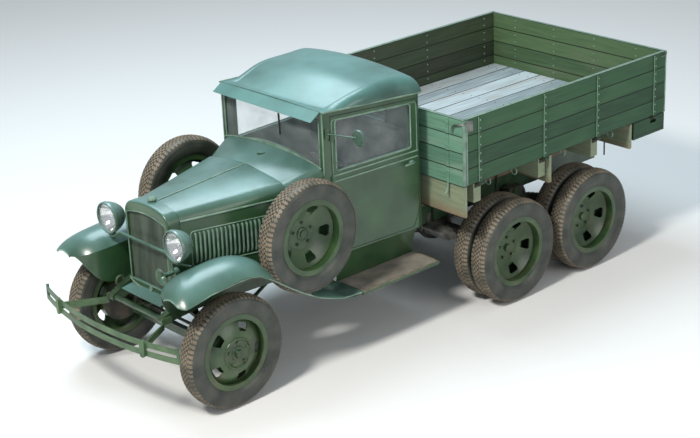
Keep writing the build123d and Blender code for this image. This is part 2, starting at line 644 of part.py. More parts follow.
# Exhaust: pipe along the left rail and a short silencer lying across under the bed
EXHAUST_Z = 620.0
with BuildPart() as exhaust:
    with BuildLine() as pipe_route:
        FilletPolyline(
            (172.3, station(470), 900),
            (172.3, station(470), 660),
            (270, station(760), EXHAUST_Z),
            (270, station(2230), EXHAUST_Z),
            (420, station(2300), EXHAUST_Z),
            radius=60,
        )
    with BuildSketch(Plane(origin=pipe_route.line @ 0, z_dir=pipe_route.line % 0)):
        Circle(22)
    sweep(path=pipe_route.line)
    with BuildSketch(Plane.YZ.offset(RAIL_X + 4)):
        with Locations((station(2300), EXHAUST_Z)):
            Circle(54)
    extrude(amount=226)
    with BuildSketch(Plane.YZ.offset(640)):
        with Locations((station(2300), EXHAUST_Z)):
            Circle(30)
    extrude(amount=50)
    with BuildSketch(Plane.YZ.offset(RAIL_X + 0.3)):
        with Locations((station(2300), EXHAUST_Z + 70)):
            Rectangle(40, 110)
    extrude(amount=8)
exhaust.part.label = "exhaust"
export_step(exhaust.part, "parts/exhaust.step")


# Radiator shell: an arched frame round the core, hollow from front to rear
shell_half = HOOD_FRONT_HALF + 4
shell_plane = Plane.XZ.offset(-station(SHELL_REAR))
with BuildPart() as radiator_shell:
    with BuildSketch(shell_plane):
        with BuildLine():
            Line((-shell_half, SHELL_BOTTOM_Z), (shell_half, SHELL_BOTTOM_Z))
            Line((shell_half, SHELL_BOTTOM_Z), (shell_half, HOOD_FRONT_EDGE_Z))
            ThreePointArc((shell_half, HOOD_FRONT_EDGE_Z), (shell_half - 26, HOOD_FRONT_EDGE_Z + 54), (shell_half - 80, HOOD_FRONT_TOP_Z - 16))
            ThreePointArc((shell_half - 80, HOOD_FRONT_TOP_Z - 16), (0, HOOD_FRONT_TOP_Z + 8), (80 - shell_half, HOOD_FRONT_TOP_Z - 16))
            ThreePointArc((80 - shell_half, HOOD_FRONT_TOP_Z - 16), (26 - shell_half, HOOD_FRONT_EDGE_Z + 54), (-shell_half, HOOD_FRONT_EDGE_Z))
            Line((-shell_half, HOOD_FRONT_EDGE_Z), (-shell_half, SHELL_BOTTOM_Z))
        make_face()
    extrude(amount=SHELL_REAR - SHELL_FRONT)
    front_edges = radiator_shell.faces().sort_by(Axis.Y)[0].edges()
    fillet(front_edges, 18)
    with BuildSketch(shell_plane):
        with BuildLine():
            Line((-shell_half + SHELL_RIM, SHELL_BOTTOM_Z + 46), (shell_half - SHELL_RIM, SHELL_BOTTOM_Z + 46))
            Line((shell_half - SHELL_RIM, SHELL_BOTTOM_Z + 46), (shell_half - SHELL_RIM, HOOD_FRONT_EDGE_Z - 10))
            ThreePointArc(
                (shell_half - SHELL_RIM, HOOD_FRONT_EDGE_Z - 10),
                (0, HOOD_FRONT_EDGE_Z + 32),
                (SHELL_RIM - shell_half, HOOD_FRONT_EDGE_Z - 10),
            )
            Line((SHELL_RIM - shell_half, HOOD_FRONT_EDGE_Z - 10), (SHELL_RIM - shell_half, SHELL_BOTTOM_Z + 46))
        make_face()
    extrude(amount=SHELL_REAR - SHELL_FRONT, mode=Mode.SUBTRACT)
    with BuildSketch(Plane.YZ):
        Polygon(
            (station(SHELL_FRONT) + 14, SHELL_BOTTOM_Z + 10),
            (station(SHELL_FRONT) + 14, SHELL_BOTTOM_Z),
            (station(-268), FRAME_TOP_Z - RAIL_HEIGHT + 60),
            (station(-268), FRAME_TOP_Z - RAIL_HEIGHT + 66),
        )
    extrude(amount=shell_half - 24, both=True)
    with BuildSketch(Plane.XY.offset(HOOD_FRONT_TOP_Z)):
        with Locations((0, station((SHELL_FRONT + SHELL_REAR) / 2 + 16))):
            Circle(30)
    extrude(amount=22)
radiator_shell.part.label = "radiator_shell"
export_step(radiator_shell.part, "parts/radiator_shell.step")

# Radiator core, standing in the shell
core_half = shell_half - SHELL_RIM - 0.3
with BuildPart() as radiator_core:
    with BuildSketch(Plane.XZ.offset(-station(SHELL_REAR - 10))):
        with BuildLine():
            Line((-core_half, SHELL_BOTTOM_Z + 46.3), (core_half, SHELL_BOTTOM_Z + 46.3))
            Line((core_half, SHELL_BOTTOM_Z + 46.3), (core_half, HOOD_FRONT_EDGE_Z - 12))
            ThreePointArc((core_half, HOOD_FRONT_EDGE_Z - 12), (0, HOOD_FRONT_EDGE_Z + 31), (-core_half, HOOD_FRONT_EDGE_Z - 12))
            Line((-core_half, HOOD_FRONT_EDGE_Z - 12), (-core_half, SHELL_BOTTOM_Z + 46.3))
        make_face()
    extrude(amount=70)
radiator_core.part.label = "radiator_core"
export_step(radiator_core.part, "parts/radiator_core.step")

# Bumper: two bowed flat bars with curled ends, clamps and two spring arms to the horns
BUMPER_HALF = 820.0
BUMPER_END = -563.0
BUMPER_FRONT = -690.0
BUMPER_WALL = 9.0
BUMPER_BAR_HEIGHT = 42.0
BUMPER_BOTTOM_Z = 562.0
BUMPER_TOP_Z = 675.0
clamp_x = 530.0
with BuildPart() as bumper:
    for bar_z in (BUMPER_BOTTOM_Z, BUMPER_TOP_Z - BUMPER_BAR_HEIGHT):
        with BuildSketch(Plane.XY.offset(bar_z)):
            with BuildLine():
                ThreePointArc((-BUMPER_HALF, station(BUMPER_END)), (0, station(BUMPER_FRONT)), (BUMPER_HALF, station(BUMPER_END)))
                Line((BUMPER_HALF, station(BUMPER_END)), (BUMPER_HALF, station(BUMPER_END) + BUMPER_WALL))
                ThreePointArc(
                    (BUMPER_HALF, station(BUMPER_END) + BUMPER_WALL),
                    (0, station(BUMPER_FRONT) + BUMPER_WALL),
                    (-BUMPER_HALF, station(BUMPER_END) + BUMPER_WALL),
                )
                Line((-BUMPER_HALF, station(BUMPER_END) + BUMPER_WALL), (-BUMPER_HALF, station(BUMPER_END)))
            make_face()
        extrude(amount=BUMPER_BAR_HEIGHT)
    for side in (1, -1):
        with BuildSketch(Plane.XY.offset(BUMPER_BOTTOM_Z)):
            with Locations((side * (BUMPER_HALF - 2), station(BUMPER_END) + 12)):
                Circle(12)
        extrude(amount=BUMPER_TOP_Z - BUMPER_BOTTOM_Z)
        clamp_plane = Plane(
            origin=(side * clamp_x, station(BUMPER_FRONT) + 46, (BUMPER_TOP_Z + BUMPER_BOTTOM_Z) / 2),
            x_dir=(1, side * 0.2, 0),
            z_dir=(side * 0.2, -1, 0),
        )
        with BuildSketch(clamp_plane):
            SlotOverall(BUMPER_TOP_Z - BUMPER_BOTTOM_Z + 18, 46, rotation=90)
        extrude(amount=14, both=True)
        with BuildSketch(Plane.XY.offset((BUMPER_TOP_Z + BUMPER_BOTTOM_Z) / 2 - 26)):
            with BuildLine():
                ThreePointArc(
                    (side * (clamp_x - 12), station(BUMPER_FRONT) + 56),
                    (side * 420, station(-470)),
                    (side * (HORN_X + 8), station(-HORN_BEFORE_AXLE - 10)),
                )
                Line(
                    (side * (HORN_X + 8), station(-HORN_BEFORE_AXLE - 10)),
                    (side * (HORN_X + 16), station(-HORN_BEFORE_AXLE - 10)),
                )
                ThreePointArc(
                    (side * (HORN_X + 16), station(-HORN_BEFORE_AXLE - 10)),
                    (side * 430, station(-462)),
                    (side * (clamp_x - 4), station(BUMPER_FRONT) + 62),
                )
                Line(
                    (side * (clamp_x - 4), station(BUMPER_FRONT) + 62),
                    (side * (clamp_x - 12), station(BUMPER_FRONT) + 56),
                )
            make_face()
        extrude(amount=52)
        horn_face = Plane(
            origin=(side * (RAIL_X + 0.4), KINK_Y, 0),
            x_dir=(-side * math.sin(rail_splay), -math.cos(rail_splay), 0),
            z_dir=(-math.cos(rail_splay), side * math.sin(rail_splay), 0),
        )
        with BuildSketch(horn_face):
            with Locations((horn_run - 20, HORN_TIP_Z)):
                RectangleRounded(90, 50, 12)
        extrude(amount=-side * 12)
bumper.part.label = "bumper"
export_step(bumper.part, "parts/bumper.step")

# Front fenders: crowned sheets that sweep down to the running boards, with inner aprons
FENDER_WALL = 4.0
FENDER_OUTER_X = 820.0
BOARD_INNER_X = 507.0
BOARD_FRONT = 1198.0
BOARD_REAR = 2008.0
RUN_BOARD_Z = 530.0
RUN_BOARD_WALL = 25.0
# Each fender section: distance behind the axle, outer edge X, its Z, crown rise, inner edge X, its Z, apron's lower Z
FENDER_SECTIONS = (
    (-476.0, 750.0, 944.0, 26.0, 590.0, 950.0, 936.0),
    (-440.0, 806.0, 936.0, 58.0, 512.0, 958.0, 925.0),
    (-330.0, FENDER_OUTER_X, 962.0, 92.0, 430.0, 985.0, 760.0),
    (-120.0, FENDER_OUTER_X, 991.0, 96.0, 408.0, 1004.0, 722.0),
    (140.0, FENDER_OUTER_X, 1000.0, 92.0, 408.0, 1002.0, 735.0),
    (300.0, FENDER_OUTER_X, 935.0, 88.0, 408.0, 950.0, 745.0),
    (500.0, FENDER_OUTER_X, 790.0, 66.0, 412.0, 810.0, 745.0),
    (760.0, FENDER_OUTER_X, 628.0, 40.0, 462.0, 645.0, 615.0),
    (1000.0, FENDER_OUTER_X, 545.0, 16.0, 488.0, 552.0, 535.0),
    (BOARD_FRONT - 1, FENDER_OUTER_X, 530.0, 2.0, BOARD_INNER_X, 530.0, 522.0),
)
SPARE_WELL_GAP = 8.0
with BuildPart() as fenders:
    for side in (1, -1):
        for behind, outer_x, outer_z, rise, inner_x, inner_z, apron_z in FENDER_SECTIONS:
            crown_x = (outer_x + inner_x) / 2
            crown_z = (outer_z + inner_z) / 2 + rise
            wall = FENDER_WALL
            with BuildSketch(Plane.XZ.offset(-station(behind))):
                with BuildLine():
                    ThreePointArc(
                        (side * inner_x, inner_z), (side * crown_x, crown_z), (side * outer_x, outer_z)
                    )
                    Line((side * outer_x, outer_z), (side * outer_x, outer_z - wall))
                    ThreePointArc(
                        (side * outer_x, outer_z - wall),
                        (side * crown_x, crown_z - wall),
                        (side * (inner_x + wall), inner_z - wall),
                    )
                    Line((side * (inner_x + wall), inner_z - wall), (side * (inner_x + wall), apron_z))
                    Line((side * (inner_x + wall), apron_z), (side * inner_x, apron_z))
                    Line((side * inner_x, apron_z), (side * inner_x, inner_z))
                make_face()
        loft()
        with BuildSketch(Plane.YZ.offset(side * (SPARE_X - TYRE_WIDTH / 2 - SPARE_WELL_GAP))):
            with Locations((SPARE_Y, SPARE_Z)):
                Circle(TYRE_RADIUS + SPARE_WELL_GAP)
        extrude(amount=side * 200, mode=Mode.SUBTRACT)
        for behind, low_z, inner_x, outer_x in ((10.0, 765.0, 356.8, 411.0), (520.0, 770.0, 388.5, 419.0)):
            with BuildSketch(Plane.XY.offset(low_z)):
                with Locations((side * (inner_x + outer_x) / 2, station(behind))):
                    Rectangle(outer_x - inner_x, 30)
            extrude(amount=14)
fenders.part.label = "front_fenders"
export_step(fenders.part, "parts/front_fenders.step")

# Running boards with the valance that rises to the cab's sill
VALANCE_TOP_X = 594.0
VALANCE_WALL = 4.0
with BuildPart() as running_boards:
    for side in (1, -1):
        with BuildSketch(Plane.XZ.offset(-station(BOARD_REAR))):
            with BuildLine():
                Line((side * BOARD_INNER_X, RUN_BOARD_Z - RUN_BOARD_WALL), (side * FENDER_OUTER_X, RUN_BOARD_Z - RUN_BOARD_WALL))
                Line((side * FENDER_OUTER_X, RUN_BOARD_Z - RUN_BOARD_WALL), (side * FENDER_OUTER_X, RUN_BOARD_Z))
                Line((side * FENDER_OUTER_X, RUN_BOARD_Z), (side * (BOARD_INNER_X + 14), RUN_BOARD_Z))
                ThreePointArc(
                    (side * (BOARD_INNER_X + 14), RUN_BOARD_Z),
                    (side * (BOARD_INNER_X + 26), 650),
                    (side * VALANCE_TOP_X, CAB_BOTTOM_Z - 0.3),
                )
                Line((side * VALANCE_TOP_X, CAB_BOTTOM_Z - 0.3), (side * (VALANCE_TOP_X - VALANCE_WALL - 4), CAB_BOTTOM_Z - 0.3))
                ThreePointArc(
                    (side * (VALANCE_TOP_X - VALANCE_WALL - 4), CAB_BOTTOM_Z - 0.3),
                    (side * (BOARD_INNER_X + 19), 650),
                    (side * BOARD_INNER_X, RUN_BOARD_Z - RUN_BOARD_WALL),
                )
            make_face()
        extrude(amount=BOARD_REAR - BOARD_FRONT)
        for bracket in (1300.0, 1880.0):
            with BuildSketch(Plane.XZ.offset(-station(bracket))):
                Polygon(
                    (side * (RAIL_X + 0.3), RAIL_BOTTOM_Z + 90),
                    (side * (RAIL_X + 10), RAIL_BOTTOM_Z + 90),
                    (side * (RAIL_X + 10), RAIL_BOTTOM_Z - 60),
                    (side * (BOARD_INNER_X + 40), RUN_BOARD_Z - RUN_BOARD_WALL),
                    (side * (BOARD_INNER_X + 40), RUN_BOARD_Z - RUN_BOARD_WALL - 20),
                    (side * (RAIL_X + 0.3), RAIL_BOTTOM_Z - 90),
                )
            extrude(amount=40)
running_boards.part.label = "running_boards"
export_step(running_boards.part, "parts/running_boards.step")

# Lamp bar in front of the radiator, on two struts to the fenders, with the trumpet horn
LAMP_BAR_Y = -205.0
LAMP_BAR_Z = 1142.0
LAMP_X = 412.0
LAMP_Z = 1230.0
LAMP_FRONT = -232.0
LAMP_RADIUS = 122.0
LAMP_DEPTH = 150.0
HORN_BELL_X = 352.0
HORN_BELL_BEHIND = -318.0
HORN_BELL_RADIUS = 64.0
BAR_END_Z = 1092.0
with BuildPart() as lamp_bar:
    with BuildLine() as bar_route:
        FilletPolyline(
            (-LAMP_X - 14, station(LAMP_BAR_Y), BAR_END_Z),
            (-360, station(LAMP_BAR_Y), BAR_END_Z),
            (-280, station(LAMP_BAR_Y), LAMP_BAR_Z),
            (280, station(LAMP_BAR_Y), LAMP_BAR_Z),
            (360, station(LAMP_BAR_Y), BAR_END_Z),
            (LAMP_X + 14, station(LAMP_BAR_Y), BAR_END_Z),
            radius=24,
        )
    with BuildSketch(Plane(origin=bar_route.line @ 0, z_dir=bar_route.line % 0)):
        Circle(11)
    sweep(path=bar_route.line)
    for side in (1, -1):
        strut_start = Vector(side * LAMP_X, station(LAMP_BAR_Y), BAR_END_Z)
        strut_end = Vector(side * 470, station(-130), 1063.5)
        with BuildSketch(Plane(origin=strut_start, z_dir=strut_end - strut_start)):
            Circle(9)
        extrude(amount=(strut_end - strut_start).length)
        with BuildSketch(Plane.XY.offset(BAR_END_Z)):
            with Locations((side * LAMP_X, station(LAMP_BAR_Y))):
                Circle(14)
        extrude(amount=LAMP_Z - LAMP_RADIUS - 1.9 - BAR_END_Z)
    horn_axis = Axis((HORN_BELL_X, station(HORN_BELL_BEHIND), 1008), (0, 1, 0))
    with BuildSketch(Plane(origin=(HORN_BELL_X, station(HORN_BELL_BEHIND), 1008), x_dir=(0, 1, 0), z_dir=(1, 0, 0))):
        with BuildLine():
            Line((0, 0), (0, HORN_BELL_RADIUS))
            ThreePointArc((0, HORN_BELL_RADIUS), (20, 30), (70, 17))
            Line((70, 17), (110, 15))
            Line((110, 15), (110, 34))
            Line((110, 34), (146, 34))
            Line((146, 34), (146, 0))
            Line((146, 0), (0, 0))
        make_face()
    revolve(axis=horn_axis)
    with BuildSketch(Plane(origin=(HORN_BELL_X, station(HORN_BELL_BEHIND), 1008), x_dir=(0, 1, 0), z_dir=(1, 0, 0))):
        with BuildLine():
            Line((0, 0), (0, HORN_BELL_RADIUS - 4))
            ThreePointArc((0, HORN_BELL_RADIUS - 4), (18, 26), (60, 8))
            Line((60, 8), (60, 0))
            Line((60, 0), (0, 0))
        make_face()
    revolve(axis=horn_axis, mode=Mode.SUBTRACT)
    with BuildSketch(Plane.XY.offset(1008)):
        with Locations((HORN_BELL_X, station(LAMP_BAR_Y))):
            Rectangle(12, 16)
    extrude(amount=BAR_END_Z - 1008)
lamp_bar.part.label = "lamp_bar"
export_step(lamp_bar.part, "parts/lamp_bar.step")

# Headlamps: a bowl with an open front and a rim, and the lens seated inside the rim
for piece_name in ("headlamps", "headlamp_lenses"):
    with BuildPart() as lamps:
        for side in (1, -1):
            lamp_plane = Plane(origin=(side * LAMP_X, station(LAMP_FRONT), LAMP_Z), x_dir=(0, 1, 0), z_dir=(1, 0, 0))
            lamp_axis = Axis((side * LAMP_X, station(LAMP_FRONT), LAMP_Z), (0, 1, 0))
            with BuildSketch(lamp_plane):
                with BuildLine():
                    if piece_name == "headlamps":
                        Line((LAMP_DEPTH, 0), (LAMP_DEPTH - 6, 0))
                        Spline(
                            (LAMP_DEPTH - 6, 0), (98, 80), (26, LAMP_RADIUS - 12), tangents=((0, 1), (-1, 0.2))
                        )
                        Line((26, LAMP_RADIUS - 12), (4, LAMP_RADIUS - 12))
                        Line((4, LAMP_RADIUS - 12), (0, LAMP_RADIUS - 6))
                        ThreePointArc((0, LAMP_RADIUS - 6), (8, LAMP_RADIUS), (24, LAMP_RADIUS))
                        Spline((24, LAMP_RADIUS), (104, 88), (LAMP_DEPTH, 0), tangents=((1, -0.2), (0, -1)))
                    else:
                        Line((6, 0), (12, 0))
                        Spline((12, 0), (15, 60), (22, LAMP_RADIUS - 12.3), tangents=((0, 1), (0.1, 1)))
                        Line((22, LAMP_RADIUS - 12.3), (16, LAMP_RADIUS - 12.3))
                        Spline((16, LAMP_RADIUS - 12.3), (9, 60), (6, 0), tangents=((-0.1, -1), (0, -1)))
                make_face()
            revolve(axis=lamp_axis)
    lamps.part.label = piece_name
    export_step(lamps.part, f"parts/{piece_name}.step")

# Hood: two top halves hinged together on the centre line, and two louvred side panels
def hood_section(side, half, top_z, edge_z, corner):
    """Gives the four arcs of one hood half from the centre hinge to its lower edge, as point triples."""
    shoulder_x = half - corner
    shoulder_z = top_z - (top_z - edge_z) * (0.24 if corner > 72 else 0.28)
    wall = HOOD_WALL
    outer = (
        ((side * HOOD_HINGE_X, top_z), (side * shoulder_x * 0.62, top_z - (top_z - shoulder_z) * 0.42), (side * shoulder_x, shoulder_z)),
        ((side * shoulder_x, shoulder_z), (side * (half - corner * 0.30), edge_z + (shoulder_z - edge_z) * 0.64), (side * half, edge_z)),
    )
    inner = (
        ((side * (half - wall), edge_z), (side * (half - wall - corner * 0.30), edge_z + (shoulder_z - edge_z) * 0.64 - wall * 0.6), (side * (shoulder_x - wall * 0.4), shoulder_z - wall)),
        ((side * (shoulder_x - wall * 0.4), shoulder_z - wall), (side * shoulder_x * 0.62, top_z - (top_z - shoulder_z) * 0.42 - wall), (side * HOOD_HINGE_X, top_z - wall)),
    )
    return outer + inner


hood_front = SHELL_REAR + HOOD_GAP
hood_rear = COWL_FRONT - HOOD_GAP
hood_stations = (
    (hood_front, HOOD_FRONT_HALF, HOOD_FRONT_TOP_Z, HOOD_FRONT_EDGE_Z, 78.0),
    (hood_rear, HOOD_REAR_HALF, HOOD_REAR_TOP_Z, HOOD_REAR_EDGE_Z, 70.0),
)
for side_name, side in (("left", 1), ("right", -1)):
    with BuildPart() as hood_top:
        for behind, half, top_z, edge_z, corner in hood_stations:
            with BuildSketch(Plane.XZ.offset(-station(behind))):
                with BuildLine():
                    arcs = hood_section(side, half, top_z, edge_z, corner)
                    for start, middle, end in arcs:
                        ThreePointArc(start, middle, end)
                    Line(arcs[1][2], arcs[2][0])
                    Line(arcs[3][2], arcs[0][0])
                make_face()
        loft()
    hood_top.part.label = f"hood_top_{side_name}"
    export_step(hood_top.part, f"parts/hood_top_{side_name}.step")

    with BuildPart() as hood_side:
        for behind, half, top_z, edge_z, corner in hood_stations:
            with BuildSketch(Plane.XZ.offset(-station(behind))):
                Polygon(
                    (side * half, edge_z - HOOD_GAP),
                    (side * (half - HOOD_WALL), edge_z - HOOD_GAP),
                    (side * (half - HOOD_WALL), HOOD_BOTTOM_Z),
                    (side * half, HOOD_BOTTOM_Z),
                )
        loft()
    hood_side.part.label = f"hood_side_{side_name}"
    export_step(hood_side.part, f"parts/hood_side_{side_name}.step")

# Cowl: a shell that widens from the hood to the cab's front wall
COWL_TOP_REAR_Z = 1560.0
COWL_EDGE_REAR_Z = 1440.0
cowl_stations = (
    (COWL_FRONT, HOOD_REAR_HALF, HOOD_REAR_TOP_Z, HOOD_REAR_EDGE_Z, 0.0),
    (CAB_FRONT - 0.3, CAB_FRONT_HALF - 2, COWL_TOP_REAR_Z, COWL_EDGE_REAR_Z, 0.0),
)
with BuildPart() as cowl:
    for wall, mode in ((0.0, Mode.ADD), (12.0, Mode.SUBTRACT)):
        for behind, half, top_z, edge_z, unused in cowl_stations:
            with BuildSketch(Plane.XZ.offset(-station(behind))):
                with BuildLine():
                    Line((-half + wall, CAB_BOTTOM_Z - (30 if wall else 0)), (half - wall, CAB_BOTTOM_Z - (30 if wall else 0)))
                    Line((half - wall, CAB_BOTTOM_Z - (30 if wall else 0)), (half - wall, edge_z))
                    ThreePointArc((half - wall, edge_z), (half - wall - 20, edge_z + 50 - wall), (half - wall - 80, edge_z + 82 - wall))
                    ThreePointArc((half - wall - 80, edge_z + 82 - wall), (0, top_z - wall), (80 - half + wall, edge_z + 82 - wall))
                    ThreePointArc((80 - half + wall, edge_z + 82 - wall), (20 - half + wall, edge_z + 50 - wall), (wall - half, edge_z))
                    Line((wall - half, edge_z), (wall - half, CAB_BOTTOM_Z - (30 if wall else 0)))
                make_face()
        loft(mode=mode)
    with BuildSketch(Plane.XY.offset(1500)):
        with Locations((0, station(941))):
            Circle(34)
    extrude(amount=36)
    with BuildSketch(Plane.YZ):
        Polygon(
            (station(SHELL_REAR) + 0.3, HOOD_FRONT_TOP_Z),
            (station(COWL_FRONT) + 10, HOOD_REAR_TOP_Z),
            (station(COWL_FRONT) + 10, HOOD_REAR_TOP_Z - 6),
            (station(SHELL_REAR) + 0.3, HOOD_FRONT_TOP_Z - 6),
        )
    extrude(amount=HOOD_STRIP_HALF, both=True)
    for side in (1, -1):
        flange_x = SPARE_X - DISC_OFFSET - SEAT_CLEARANCE
        with BuildSketch(Plane.YZ.offset(side * flange_x)):
            with Locations((SPARE_Y, SPARE_Z)):
                Circle(62)
        extrude(amount=-side * 8)
        arm_root = Vector(side * 503, station(835), SPARE_Z)
        arm_tip = Vector(side * (flange_x - 6), station(770), SPARE_Z)
        with BuildSketch(Plane(origin=arm_root, z_dir=arm_tip - arm_root)):
            Circle(24)
        extrude(amount=(arm_tip - arm_root).length - 8)
cowl.part.label = "cowl"
export_step(cowl.part, "parts/cowl.step")


def cab_half(behind, inset=0.0):
    """Gives the cab side's distance from the middle at a distance behind the front axle."""
    share = (behind - CAB_FRONT) / (CAB_REAR - CAB_FRONT)
    return CAB_FRONT_HALF + share * (CAB_REAR_HALF - CAB_FRONT_HALF) - inset


def eave_z(behind):
    """Gives the height of the cab's top edge at a distance behind the front axle."""
    share = (behind - CAB_FRONT) / (CAB_REAR - CAB_FRONT)
    return EAVE_FRONT_Z + share * (EAVE_REAR_Z - EAVE_FRONT_Z)


# Cab shell: front wall, pillars, rear wall with its window, floor and seat box
GLASS_BOTTOM_CENTRE_Z = 1572.0
GLASS_BOTTOM_EDGE_Z = 1486.0
GLASS_HALF = 556.0
GLASS_TOP_Z = 1876.0
REAR_WINDOW_HALF = 260.0
REAR_WINDOW_BOTTOM_Z = 1560.0
REAR_WINDOW_TOP_Z = 1780.0
SEAT_FRONT = 1480.0
SEAT_HALF = 520.0
SEAT_BOX_Z = 1040.0
with BuildPart() as cab_shell:
    with BuildSketch(Plane.XY.offset(CAB_BOTTOM_Z)):
        Polygon(
            (-CAB_FRONT_HALF, station(CAB_FRONT)),
            (CAB_FRONT_HALF, station(CAB_FRONT)),
            (CAB_REAR_HALF, station(CAB_REAR)),
            (-CAB_REAR_HALF, station(CAB_REAR)),
        )
    extrude(amount=EAVE_FRONT_Z + 20 - CAB_BOTTOM_Z)
    rear_corners = cab_shell.edges().filter_by(Axis.Z).sort_by(Axis.Y)[-2:]
    fillet(rear_corners, 70)
    with BuildSketch(Plane.XY.offset(CAB_FLOOR_Z)):
        inner = Polygon(
            (-cab_half(CAB_FRONT + CAB_WALL, CAB_WALL), station(CAB_FRONT + CAB_WALL)),
            (cab_half(CAB_FRONT + CAB_WALL, CAB_WALL), station(CAB_FRONT + CAB_WALL)),
            (cab_half(CAB_REAR - CAB_WALL, CAB_WALL), station(CAB_REAR - CAB_WALL)),
            (-cab_half(CAB_REAR - CAB_WALL, CAB_WALL), station(CAB_REAR - CAB_WALL)),
        )
        fillet(inner.vertices().sort_by(Axis.Y)[-2:], 70 - CAB_WALL)
    extrude(amount=EAVE_FRONT_Z + 40 - CAB_FLOOR_Z, mode=Mode.SUBTRACT)
    with BuildSketch(Plane.XY.offset(CAB_BOTTOM_Z)):
        with Locations((0, station((CAB_FRONT + CAB_REAR) / 2))):
            Rectangle(2 * (CAB_FRONT_HALF - 50), CAB_REAR - CAB_FRONT + 40)
    extrude(amount=FRAME_TOP_Z + SEAT_CLEARANCE - CAB_BOTTOM_Z, mode=Mode.SUBTRACT)
    with BuildSketch(Plane.YZ):
        Polygon(
            (station(CAB_FRONT - 10), eave_z(CAB_FRONT - 10)),
            (station(CAB_REAR + 10), eave_z(CAB_REAR + 10)),
            (station(CAB_REAR + 10), EAVE_FRONT_Z + 60),
            (station(CAB_FRONT - 10), EAVE_FRONT_Z + 60),
        )
    extrude(amount=CAB_REAR_HALF + 20, both=True, mode=Mode.SUBTRACT)
    with BuildSketch(Plane.XZ.offset(-station(CAB_FRONT - 10))):
        with BuildLine():
            ThreePointArc(
                (-GLASS_HALF, GLASS_BOTTOM_EDGE_Z),
                (0, GLASS_BOTTOM_CENTRE_Z),
                (GLASS_HALF, GLASS_BOTTOM_EDGE_Z),
            )
            Line((GLASS_HALF, GLASS_BOTTOM_EDGE_Z), (GLASS_HALF, GLASS_TOP_Z))
            Line((GLASS_HALF, GLASS_TOP_Z), (-GLASS_HALF, GLASS_TOP_Z))
            Line((-GLASS_HALF, GLASS_TOP_Z), (-GLASS_HALF, GLASS_BOTTOM_EDGE_Z))
        make_face()
    extrude(amount=-CAB_WALL - 20, mode=Mode.SUBTRACT)
    with BuildSketch(Plane.XZ.offset(-station(CAB_REAR + 10))):
        with Locations((0, (REAR_WINDOW_BOTTOM_Z + REAR_WINDOW_TOP_Z) / 2)):
            RectangleRounded(2 * REAR_WINDOW_HALF, REAR_WINDOW_TOP_Z - REAR_WINDOW_BOTTOM_Z, 40)
    extrude(amount=CAB_WALL + 20, mode=Mode.SUBTRACT)
    for side in (1, -1):
        with BuildSketch(Plane.YZ.offset(side * (CAB_FRONT_HALF - 52))):
            with BuildLine():
                Line((station(DOOR_FRONT), DOOR_BOTTOM_Z), (station(DOOR_REAR - 60), DOOR_BOTTOM_Z))
                ThreePointArc(
                    (station(DOOR_REAR - 60), DOOR_BOTTOM_Z),
                    (station(DOOR_REAR - 14), DOOR_BOTTOM_Z + 110),
                    (station(DOOR_REAR), DOOR_BOTTOM_Z + 240),
                )
                Line((station(DOOR_REAR), DOOR_BOTTOM_Z + 240), (station(DOOR_REAR), eave_z(DOOR_REAR) - DOOR_HEADROOM))
                Line(
                    (station(DOOR_REAR), eave_z(DOOR_REAR) - DOOR_HEADROOM),
                    (station(DOOR_FRONT), eave_z(DOOR_FRONT) - DOOR_HEADROOM),
                )
                Line((station(DOOR_FRONT), eave_z(DOOR_FRONT) - DOOR_HEADROOM), (station(DOOR_FRONT), DOOR_BOTTOM_Z))
            make_face()
        extrude(amount=side * 140, mode=Mode.SUBTRACT)
    with BuildSketch(Plane.XY.offset(CAB_FLOOR_Z)):
        with Locations((0, station((SEAT_FRONT + CAB_REAR - CAB_WALL) / 2 + 10))):
            Rectangle(2 * SEAT_HALF - 40, CAB_REAR - CAB_WALL - SEAT_FRONT - 20)
    extrude(amount=SEAT_BOX_Z - CAB_FLOOR_Z)
cab_shell.part.label = "cab_shell"
export_step(cab_shell.part, "parts/cab_shell.step")

